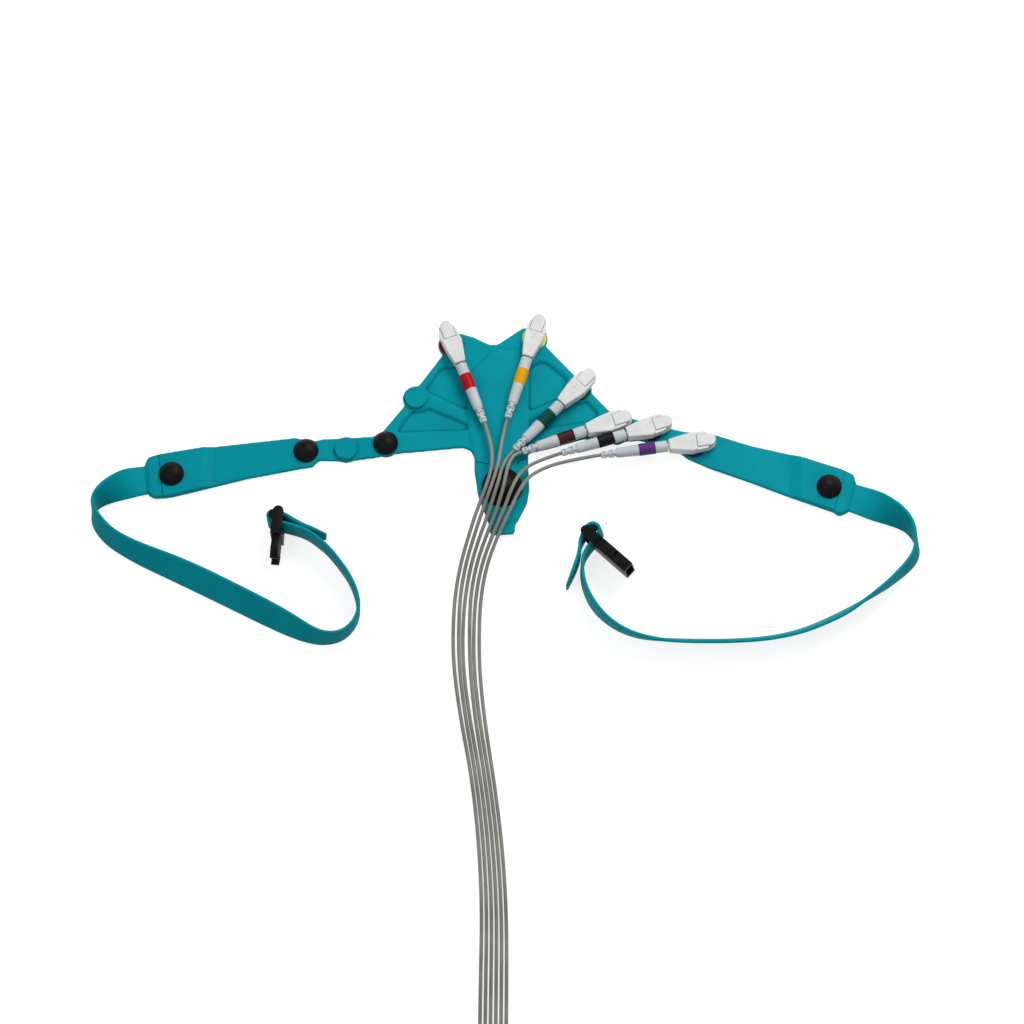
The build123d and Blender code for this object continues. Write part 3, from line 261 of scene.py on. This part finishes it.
def object_noise(finish, scale, detail=2.0):
    """Noise over the piece's own coordinates."""
    tree = finish.node_tree
    coordinates = tree.nodes.new("ShaderNodeTexCoord")
    noise = tree.nodes.new("ShaderNodeTexNoise")
    noise.inputs["Scale"].default_value = scale
    noise.inputs["Detail"].default_value = detail
    tree.links.new(coordinates.outputs["Object"], noise.inputs["Vector"])
    return noise


def drift_colour(finish, darker, lighter, scale):
    """Let the colour wander softly between two shades."""
    tree = finish.node_tree
    noise = object_noise(finish, scale)
    ramp = tree.nodes.new("ShaderNodeValToRGB")
    ramp.color_ramp.elements[0].position = 0.35
    ramp.color_ramp.elements[0].color = (*darker, 1)
    ramp.color_ramp.elements[1].position = 0.65
    ramp.color_ramp.elements[1].color = (*lighter, 1)
    tree.links.new(noise.outputs["Fac"], ramp.inputs["Fac"])
    tree.links.new(ramp.outputs["Color"], tree.nodes["Principled BSDF"].inputs["Base Color"])


def vary_roughness(finish, low, high, scale):
    """Handling marks: roughness wanders between two values."""
    tree = finish.node_tree
    noise = object_noise(finish, scale, detail=3.0)
    spread = tree.nodes.new("ShaderNodeMapRange")
    spread.inputs["To Min"].default_value = low
    spread.inputs["To Max"].default_value = high
    tree.links.new(noise.outputs["Fac"], spread.inputs["Value"])
    tree.links.new(spread.outputs["Result"], tree.nodes["Principled BSDF"].inputs["Roughness"])


def grain(finish, scale, distance, strength=0.4):
    """A fine moulded grain."""
    tree = finish.node_tree
    noise = object_noise(finish, scale, detail=3.0)
    bump = tree.nodes.new("ShaderNodeBump")
    bump.inputs["Strength"].default_value = strength
    bump.inputs["Distance"].default_value = distance
    tree.links.new(noise.outputs["Fac"], bump.inputs["Height"])
    tree.links.new(bump.outputs["Normal"], tree.nodes["Principled BSDF"].inputs["Normal"])


def shade(colour, factor):
    """A colour made darker or lighter."""
    return tuple(min(1.0, channel * factor) for channel in colour)


def set_specular(finish, level):
    """How strongly the finish shines."""
    finish.node_tree.nodes["Principled BSDF"].inputs["Specular IOR Level"].default_value = level


def silicone_finish(name, colour):
    """Satin silicone: soft sheen, a slight mottle and a fine skin."""
    finish = new_finish(name, colour, 0.5)
    drift_colour(finish, darker=shade(colour, 0.93), lighter=shade(colour, 1.05), scale=28.0)
    vary_roughness(finish, low=0.5, high=0.66, scale=60.0)
    grain(finish, scale=1400.0, distance=0.00004)
    set_specular(finish, 0.05)
    return finish


def moulded_finish(name, colour, low, high, grain_depth):
    """Moulded plastic with a fine texture and worn patches."""
    finish = new_finish(name, colour, (low + high) / 2)
    drift_colour(finish, darker=shade(colour, 0.95), lighter=shade(colour, 1.04), scale=90.0)
    vary_roughness(finish, low, high, scale=240.0)
    grain(finish, scale=2600.0, distance=grain_depth)
    set_specular(finish, 0.12)
    return finish


def metal_finish(name, colour, low, high):
    """Plated or ground metal."""
    finish = new_finish(name, colour, (low + high) / 2, metallic=1.0)
    drift_colour(finish, darker=shade(colour, 0.9), lighter=shade(colour, 1.08), scale=300.0)
    vary_roughness(finish, low, high, scale=500.0)
    grain(finish, scale=3000.0, distance=0.00001, strength=0.25)
    return finish


def lead_finish(name, colour):
    """Smooth extruded jacket, a little darker where it has been handled."""
    finish = new_finish(name, colour, 0.42)
    drift_colour(finish, darker=shade(colour, 0.84), lighter=shade(colour, 1.12), scale=40.0)
    vary_roughness(finish, low=0.34, high=0.52, scale=120.0)
    grain(finish, scale=1800.0, distance=0.00002)
    set_specular(finish, 0.25)
    return finish


def finish_nodes(finish, nodes):
    """Give CAD nodes their finish."""
    for node in nodes:
        carried = bpy.data.objects[node]
        carried.data.materials.clear()
        carried.data.materials.append(finish)


def smooth_curve(name, points, depth, extrude=0.0, tilts=None, resolution=6):
    """One smooth open spline with a round or flat section."""
    curve = bpy.data.curves.new(name, "CURVE")
    curve.dimensions = "3D"
    curve.twist_mode = "Z_UP"
    spline = curve.splines.new("NURBS")
    last = len(points) - 1
    spline.points.add(last)
    for index, (knot, point) in enumerate(zip(spline.points, points)):
        knot.co = (*point, 1)
        if tilts:
            knot.tilt = tilts[index]
            knot.radius = 1 if index < last else STRAP_END_SHARE
    spline.order_u = 3
    spline.use_endpoint_u = True
    spline.resolution_u = resolution
    curve.bevel_depth = depth
    curve.bevel_resolution = 4
    curve.extrude = extrude
    curve.use_fill_caps = True
    piece = bpy.data.objects.new(name, curve)
    bpy.context.scene.collection.objects.link(piece)
    return piece


def weld(threshold):
    """Merge the active piece's doubles and turn its faces outwards."""
    bpy.ops.object.mode_set(mode="EDIT")
    bpy.ops.mesh.select_all(action="SELECT")
    bpy.ops.mesh.remove_doubles(threshold=threshold)
    bpy.ops.mesh.normals_make_consistent(inside=False)
    bpy.ops.object.mode_set(mode="OBJECT")


def smooth_by_angle(piece, degrees):
    """Smooth the piece's shading, apart from edges sharper than the angle."""
    make_active(piece)
    bpy.ops.object.shade_smooth_by_angle(angle=math.radians(degrees))


def made_mesh(piece):
    """Turn a curve piece into a mesh with its shading smoothed by angle."""
    make_active(piece)
    bpy.ops.object.convert(target="MESH")
    piece = bpy.context.object
    weld(CURVE_WELD)
    smooth_by_angle(piece, 50)
    return piece


def join_pieces(pieces):
    """Join the pieces into the first, with its place in its mesh."""
    deselect_all()
    for piece in pieces:
        piece.select_set(True)
    bpy.context.view_layer.objects.active = pieces[0]
    bpy.ops.object.join()
    bpy.ops.object.transform_apply(location=True, rotation=True, scale=True)
    return bpy.context.object


def merged_copy(name, node):
    """A new piece with a carried node's shape, its loose triangles merged, ready for modifiers."""
    piece = bpy.data.objects.new(name, bpy.data.objects[node].data.copy())
    bpy.context.scene.collection.objects.link(piece)
    make_active(piece)
    weld(NODE_WELD)
    return piece


def add_modifier(piece, kind, **settings):
    """Add a modifier with its settings and apply it."""
    make_active(piece)
    bpy.ops.object.modifier_add(type=kind)
    modifier = piece.modifiers[-1]
    for key, value in settings.items():
        setattr(modifier, key, value)
    bpy.ops.object.modifier_apply(modifier=modifier.name)


def eased_copy(name, node, width):
    """A copy of a carried node with its sharp edges eased, so that they catch the light."""
    piece = merged_copy(name, node)
    bpy.ops.object.mode_set(mode="EDIT")
    bpy.ops.mesh.select_all(action="SELECT")
    bpy.ops.mesh.dissolve_limited(angle_limit=math.radians(1))
    bpy.ops.object.mode_set(mode="OBJECT")
    add_modifier(piece, "BEVEL", width=width, segments=2, limit_method="ANGLE", angle_limit=math.radians(40))
    smooth_by_angle(piece, 35)
    return piece


def stand_in_for(piece, body, node, finish):
    """Let a piece ride, replace its node and wear its finish."""
    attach(piece, body)
    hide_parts(node)
    piece.data.materials.clear()
    piece.data.materials.append(finish)


def seam_cutter(start, end, top):
    """A thin block along one of the moulding's seams, to cut with."""
    run = Vector(end) - Vector(start)
    middle = (Vector(start) + Vector(end)) / 2
    deselect_all()
    bpy.ops.mesh.primitive_cube_add(size=1, location=(middle.x * MM, middle.y * MM, top * MM))
    block = bpy.context.object
    block.scale = ((run.length + SEAM_WIDTH) * MM, SEAM_WIDTH * MM, 2 * SEAM_DEPTH * MM)
    block.rotation_euler = (0, 0, math.atan2(run.y, run.x))
    bpy.ops.object.transform_apply(location=True, rotation=True, scale=True)
    return block


def painted_crease_shade(finish):
    """Paint shade into the colour where a dense mesh folds inwards: a painted shade in the moulding's
    creases, standing in for the shade that falls there.
    """
    tree = finish.node_tree
    shader = tree.nodes["Principled BSDF"]
    source = shader.inputs["Base Color"].links[0].from_socket
    surface = tree.nodes.new("ShaderNodeNewGeometry")
    painted_shade = tree.nodes.new("ShaderNodeMapRange")
    # Pointiness below the range gives the darkest painted shade; flat skin keeps its colour
    painted_shade.inputs["From Min"].default_value = PAINTED_FOLD_RANGE[0]
    painted_shade.inputs["From Max"].default_value = PAINTED_FOLD_RANGE[1]
    painted_shade.inputs["To Min"].default_value = PAINTED_FOLD_SHADE
    painted_shade.inputs["To Max"].default_value = 1.0
    shaded = tree.nodes.new("ShaderNodeVectorMath")
    shaded.operation = "SCALE"
    tree.links.new(surface.outputs["Pointiness"], painted_shade.inputs["Value"])
    tree.links.new(source, shaded.inputs[0])
    tree.links.new(painted_shade.outputs["Result"], shaded.inputs["Scale"])
    tree.links.new(shaded.outputs["Vector"], shader.inputs["Base Color"])


class ECGBELT_OT_panel(bpy.types.Operator):
    """Mould the soft belt, and finish its knobs and its electrode pads"""

    bl_idname = "ecgbelt.panel"
    bl_label = "Moulded belt"

    def execute(self, context):
        colours = context.scene.ecg_belt_colours
        silicone = silicone_finish("belt silicone", tuple(colours.silicone))
        # Painted shade in the moulding's folds and along its window edges
        painted_crease_shade(silicone)
        belt = merged_copy("belt_moulding", "belt_panel")
        add_modifier(belt, "REMESH", mode="VOXEL", voxel_size=MOULDING_VOXEL)
        add_modifier(belt, "SMOOTH", factor=0.5, iterations=MOULDING_SMOOTHING)
        for seam in SEAMS:
            cutter = seam_cutter(*seam)
            add_modifier(belt, "BOOLEAN", operation="DIFFERENCE", solver="EXACT", object=cutter)
            bpy.data.objects.remove(cutter)
        smooth_by_angle(belt, 50)
        stand_in_for(belt, "belt", "belt_panel", silicone)
        finish_nodes(silicone_finish("knob silicone", tuple(colours.silicone)), ["blank_knobs"])
        finish_nodes(moulded_finish("conductive pad", PAD_BLACK, 0.55, 0.7, 0.00003),
                     ["skin_electrodes"])
        return {"FINISHED"}


class ECGBELT_OT_snaps(bpy.types.Operator):
    """Finish the snap caps, the snap studs and the coloured electrode rings"""

    bl_idname = "ecgbelt.snaps"
    bl_label = "Snaps and rings"

    def execute(self, context):
        colours = context.scene.ecg_belt_colours
        finish_nodes(moulded_finish("black snap cap", tuple(colours.caps), 0.4, 0.56, 0.00003),
                     ["centre_cap", "dome_caps"])
        finish_nodes(metal_finish("nickel plate", NICKEL, 0.16, 0.3), ["snap_studs"])
        for lead in LEADS:
            ring = moulded_finish(f"electrode ring {lead}", DISC_COLOURS[lead], 0.45, 0.6, 0.00002)
            finish_nodes(ring, [f"electrode_disc_{lead}"])
        return {"FINISHED"}


class ECGBELT_OT_clips(bpy.types.Operator):
    """Finish the press clips and their metal"""

    bl_idname = "ecgbelt.clips"
    bl_label = "Press clips"

    def execute(self, context):
        colours = context.scene.ecg_belt_colours
        white = moulded_finish("clip white", tuple(colours.clips), 0.32, 0.46, 0.00001)
        set_specular(white, 0.3)
        finish_nodes(white, [f"clip_{half}_{lead}" for half in ("shell", "lever") for lead in LEADS])
        finish_nodes(metal_finish("pin steel", PIN_STEEL, 0.2, 0.34),
                     ["lever_pins", "socket_sleeves", "plug_pins", "connector_pins"])
        finish_nodes(metal_finish("spring steel", SPRING_STEEL, 0.3, 0.45), ["lever_springs"])
        return {"FINISHED"}


def relief_comb():
    """One strain relief along X: a core, rings that taper to the lead, and bridges in turn round it."""
    deselect_all()
    turned = (0, math.radians(90), 0)
    core_end, core_start = RELIEF_CORE
    bpy.ops.mesh.primitive_cone_add(
        vertices=28, radius1=core_end * MM, radius2=core_start * MM, depth=RELIEF_LENGTH * MM,
        location=(-RELIEF_LENGTH / 2 * MM, 0, 0), rotation=turned)
    parts = [bpy.context.object]
    pitch = RELIEF_LENGTH / (RELIEF_RINGS - 0.5)
    for ring in range(RELIEF_RINGS):
        near = RING_RADIUS - RING_TAPER * ring / (RELIEF_RINGS - 1)
        middle = -pitch * (ring + 0.25)
        bpy.ops.mesh.primitive_cone_add(
            vertices=32, radius1=(near - RING_DRAFT) * MM, radius2=near * MM, depth=pitch / 2 * MM,
            location=(middle * MM, 0, 0), rotation=turned)
        parts.append(bpy.context.object)
        if ring == RELIEF_RINGS - 1:
            continue
        beside = ring % 2 == 1
        height, width = (BRIDGE_WIDE, BRIDGE_THIN) if beside else (BRIDGE_THIN, BRIDGE_WIDE)
        for side in (1, -1):
            place = (near - BRIDGE_SINK) * side
            spot = (place, 0) if beside else (0, place)
            bpy.ops.mesh.primitive_cube_add(
                size=1, location=((middle - pitch / 2) * MM, spot[0] * MM, spot[1] * MM))
            bridge = bpy.context.object
            bridge.scale = (pitch * BRIDGE_SHARE * MM, width * MM, height * MM)
            bpy.ops.object.transform_apply(location=False, rotation=False, scale=True)
            parts.append(bridge)
    comb = join_pieces(parts)
    add_modifier(comb, "BEVEL", width=RELIEF_EASE * MM, segments=2, limit_method="ANGLE",
                 angle_limit=math.radians(50))
    return comb


def behind_clip(lead, reach):
    """A place in metres, so many millimetres behind a clip's stud, at the height of its relief."""
    x, y, bearing = CLIPS[lead]
    turn = math.radians(bearing)
    return ((x - reach * math.cos(turn)) * MM, (y - reach * math.sin(turn)) * MM, RELIEF_HEIGHT * MM)


def relief_combs():
    """The six strain reliefs, each a copy laid behind its plug."""
    first = relief_comb()
    copies = []
    for lead in LEADS:
        copy = bpy.data.objects.new(f"relief_comb_{lead}", first.data.copy())
        bpy.context.scene.collection.objects.link(copy)
        copy.location = behind_clip(lead, RELIEF_START)
        copy.rotation_euler = (0, 0, math.radians(CLIPS[lead][-1]))
        copies.append(copy)
    bpy.data.objects.remove(first)
    combs = join_pieces(copies)
    combs.name = "relief_combs"
    smooth_by_angle(combs, 40)
    return combs


class ECGBELT_OT_plugs(bpy.types.Operator):
    """Finish the plugs and their coloured bands, and model the strain reliefs"""

    bl_idname = "ecgbelt.plugs"
    bl_label = "Plugs and bands"

    def execute(self, context):
        colours = context.scene.ecg_belt_colours
        grey = moulded_finish("plug grey", tuple(colours.plugs), 0.34, 0.48, 0.00001)
        finish_nodes(grey, [f"plug_body_{lead}" for lead in LEADS])
        combs = relief_combs()
        stand_in_for(combs, "belt", "strain_reliefs", grey)
        for lead in LEADS:
            band = moulded_finish(f"plug band {lead}", BAND_COLOURS[lead], 0.34, 0.46, 0.00001)
            finish_nodes(band, [f"plug_band_{lead}"])
        return {"FINISHED"}


class ECGBELT_OT_clasp(bpy.types.Operator):
    """Finish the clasp halves and the lead connector"""

    bl_idname = "ecgbelt.clasp"
    bl_label = "Clasp and connector"

    def execute(self, context):
        colours = context.scene.ecg_belt_colours
        black = moulded_finish("clasp black", tuple(colours.caps), 0.36, 0.52, 0.00002)
        for half in ("male", "female"):
            clasp = eased_copy(f"{half}_clasp", f"{half}_buckle", CLASP_EASE)
            stand_in_for(clasp, f"{half}_half", f"{half}_buckle", black)
        block = moulded_finish("connector black", shade(colours.caps, CONNECTOR_SHADE), 0.4, 0.55, 0.00002)
        finish_nodes(block, ["lead_connector"])
        return {"FINISHED"}


def route_points(route, sizes):
    """Centre points and tilts of a strap on its edge, leaning or lying flat."""
    points = []
    for x, y, lean, lift in route:
        tilt = math.radians(lean)
        rise = sizes.strap_thickness / 2 * abs(math.sin(tilt)) + sizes.strap_width / 2 * math.cos(tilt)
        points.append((x * MM, y * MM, rise + lift * MM, tilt))
    return points


def bar_points(bar):
    """Centre points and tilts of a strap's turn round a clasp's bar, leaning as the clasp does."""
    x, y, start, end, radius, bearing, lean, lift = bar
    heading = math.radians(bearing)
    right = Vector((math.sin(heading), -math.cos(heading)))
    lean = math.radians(lean)
    winding = math.copysign(1, end - start)
    steps = round(abs(end - start) / BAR_STEP)
    points = []
    for step in range(steps + 1):
        turn = math.radians(start + (end - start) * step / steps)
        arm = radius * Vector((math.cos(turn), math.sin(turn)))
        outward = winding * Vector((math.cos(turn), math.sin(turn)))
        reach = arm.dot(right)
        place = Vector((x, y)) + arm + right * reach * (math.cos(lean) - 1)
        height = CLASP_MIDDLE + lift - reach * math.sin(lean)
        points.append((place.x * MM, place.y * MM, height * MM, lean * right.dot(outward)))
    return points


def strap_piece(side, route, bar, tail, sizes, finish):
    """A flat silicone strap along its route, round the clasp's bar and out to its tail."""
    points = route_points(route, sizes) + bar_points(bar) + route_points(tail, sizes)
    half_thickness = sizes.strap_thickness / 2
    places = [point[:3] for point in points]
    tilts = [point[3] for point in points]
    strap = made_mesh(smooth_curve(
        f"{side}_strap_band", places, half_thickness, sizes.strap_width / 2 - half_thickness, tilts, 8))
    stand_in_for(strap, "belt", f"{side}_strap", finish)


class ECGBELT_OT_straps(bpy.types.Operator):
    """Model the two side straps"""

    bl_idname = "ecgbelt.straps"
    bl_label = "Side straps"

    def execute(self, context):
        sizes = context.scene.ecg_belt_sizes
        colours = context.scene.ecg_belt_colours
        finish = silicone_finish("strap silicone", tuple(colours.silicone))
        strap_piece("left", LEFT_STRAP, LEFT_BAR, LEFT_TAIL, sizes, finish)
        strap_piece("right", RIGHT_STRAP, RIGHT_BAR, RIGHT_TAIL, sizes, finish)
        return {"FINISHED"}


def coil_points(index, sizes):
    """Points of a lead's flat turn: round the bottom, over the top and into the connector."""
    centre_x, centre_y = COIL_CENTRE
    height = sizes.lead_diameter / 2
    outer = sizes.coil_radius + sizes.lead_pitch * index
    half_part = COIL_PART / 2
    points = []
    for radius, shift, first in ((outer, 0.0, 0), (outer - COIL_STEP, COIL_STEP, 180)):
        spread = radius / math.cos(math.radians(half_part))
        for part in range(180 // COIL_PART):
            turn = math.radians(first - half_part - COIL_PART * part)
            x = centre_x - shift + spread * math.cos(turn)
            points.append((x, centre_y + spread * math.sin(turn), height))
    points.append((centre_x + outer - 2 * COIL_STEP, centre_y - sizes.lead_diameter, height))
    return points


class ECGBELT_OT_leads(bpy.types.Operator):
    """Lay the six lead wires from their plugs to the connector"""

    bl_idname = "ecgbelt.leads"
    bl_label = "Lead wires"

    def execute(self, context):
        sizes = context.scene.ecg_belt_sizes
        colours = context.scene.ecg_belt_colours
        finish = lead_finish("lead jacket", tuple(colours.leads))
        resting = sizes.lead_diameter / 2
        for index, lead in enumerate(LEADS):
            points = [behind_clip(lead, reach) for reach in (RELIEF_REACH, RELIEF_REACH + LEAD_OUT)]
            points += [(x * LEAD_GRID, y * LEAD_GRID, resting + rise * LEAD_GRID)
                       for x, y, rise in LEAD_ROUTES[lead]]
            points += coil_points(index, sizes)
            wire = smooth_curve(f"lead_wire_{lead}", points, resting, resolution=5)
            wire.data.materials.append(finish)
            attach(wire, "belt")
            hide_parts(f"lead_cord_{lead}", f"lead_coil_{lead}")
        return {"FINISHED"}


def area_light(name, place, target, size, power):
    """A soft lamp aimed at the belt."""
    lamp = bpy.data.lights.new(name, "AREA")
    lamp.shape = "DISK"
    lamp.size = size
    lamp.energy = power
    holder = bpy.data.objects.new(name, lamp)
    bpy.context.scene.collection.objects.link(holder)
    holder.location = place
    holder.rotation_euler = (Vector(target) - Vector(place)).to_track_quat("-Z", "Y").to_euler()


def floor_finish():
    """White floor that the camera sees as plain white where no shadow falls."""
    finish = new_finish("studio floor", FLOOR_GREY, 0.9)
    tree = finish.node_tree
    shader = tree.nodes["Principled BSDF"]
    rays = tree.nodes.new("ShaderNodeLightPath")
    seen = tree.nodes.new("ShaderNodeMath")
    seen.operation = "MAXIMUM"
    glossy = tree.nodes.new("ShaderNodeMath")
    glossy.operation = "MAXIMUM"
    lift = tree.nodes.new("ShaderNodeMath")
    lift.operation = "MULTIPLY"
    lift.inputs[1].default_value = FLOOR_GLOW
    tree.links.new(rays.outputs["Is Camera Ray"], seen.inputs[0])
    tree.links.new(rays.outputs["Is Glossy Ray"], seen.inputs[1])
    tree.links.new(seen.outputs[0], glossy.inputs[0])
    tree.links.new(rays.outputs["Is Transmission Ray"], glossy.inputs[1])
    tree.links.new(glossy.outputs[0], lift.inputs[0])
    shader.inputs["Emission Color"].default_value = (1, 1, 1, 1)
    tree.links.new(lift.outputs[0], shader.inputs["Emission Strength"])
    return finish


class ECGBELT_OT_stage(bpy.types.Operator):
    """Lay the floor and set the lamps, the world and the camera"""

    bl_idname = "ecgbelt.stage"
    bl_label = "Stage"

    def execute(self, context):
        scene = context.scene
        scene.view_settings.view_transform = "Standard"
        deselect_all()
        bpy.ops.mesh.primitive_plane_add(size=FLOOR_SIZE, location=(0, 0, 0))
        floor = bpy.context.object
        floor.name = "studio_floor"
        floor.data.materials.append(floor_finish())

        world = bpy.data.worlds.new("studio world")
        world.use_nodes = True
        tree = world.node_tree
        background = tree.nodes["Background"]
        background.inputs["Color"].default_value = (1, 1, 1, 1)
        rays = tree.nodes.new("ShaderNodeLightPath")
        seen = tree.nodes.new("ShaderNodeMapRange")
        seen.inputs["To Min"].default_value = WORLD_LIGHT
        seen.inputs["To Max"].default_value = 1.0
        tree.links.new(rays.outputs["Is Camera Ray"], seen.inputs["Value"])
        tree.links.new(seen.outputs["Result"], background.inputs["Strength"])
        scene.world = world

        area_light("key", place=(0.4, 0.65, 0.9), target=(0.08, 0, 0), size=0.7, power=8.1)
        area_light("fill", place=(-1.2, -0.5, 1.9), target=(0, -0.1, 0), size=1.4, power=6)

        sizes = scene.ecg_belt_sizes
        elevation = math.radians(CAMERA_ELEVATION)
        aim = Vector(CAMERA_AIM)
        place = aim + sizes.camera_distance * Vector((0, -math.cos(elevation), math.sin(elevation)))
        lens = bpy.data.cameras.new("photo camera")
        lens.sensor_width = CAMERA_SENSOR
        lens.lens = CAMERA_SENSOR * sizes.camera_distance / FRAMED_WIDTH
        lens.clip_end = CAMERA_CLIP
        camera = bpy.data.objects.new("photo camera", lens)
        scene.collection.objects.link(camera)
        camera.location = place
        camera.rotation_euler = (aim - place).to_track_quat("-Z", "Y").to_euler()
        scene.camera = camera
        return {"FINISHED"}


class ECGBELT_PT_belt(bpy.types.Panel):
    """The belt's sizes, colours and steps"""

    bl_label = "ECG belt"
    bl_idname = "ECGBELT_PT_belt"
    bl_space_type = "VIEW_3D"
    bl_region_type = "UI"
    bl_category = "ECG belt"

    def draw(self, context):
        for settings in (context.scene.ecg_belt_sizes, context.scene.ecg_belt_colours):
            for key in settings.__annotations__:
                self.layout.prop(settings, key)
        for step in STEPS:
            self.layout.operator(step.bl_idname)


STEPS = (ECGBELT_OT_panel, ECGBELT_OT_snaps, ECGBELT_OT_clips, ECGBELT_OT_plugs, ECGBELT_OT_clasp,
         ECGBELT_OT_straps, ECGBELT_OT_leads, ECGBELT_OT_stage)
CLASSES = (EcgBeltSizes, EcgBeltColours, *STEPS, ECGBELT_PT_belt)


def register():
    """Add the classes and the belt's settings."""
    for entry in CLASSES:
        bpy.utils.register_class(entry)
    bpy.types.Scene.ecg_belt_sizes = bpy.props.PointerProperty(type=EcgBeltSizes)
    bpy.types.Scene.ecg_belt_colours = bpy.props.PointerProperty(type=EcgBeltColours)


def unregister():
    """Take the settings and the classes away again."""
    del bpy.types.Scene.ecg_belt_colours
    del bpy.types.Scene.ecg_belt_sizes
    for entry in reversed(CLASSES):
        bpy.utils.unregister_class(entry)


def main():
    """Run every step in order."""
    register()
    for step in STEPS:
        group, action = step.bl_idname.split(".")
        getattr(getattr(bpy.ops, group), action)()


if __name__ == "__main__":
    main()
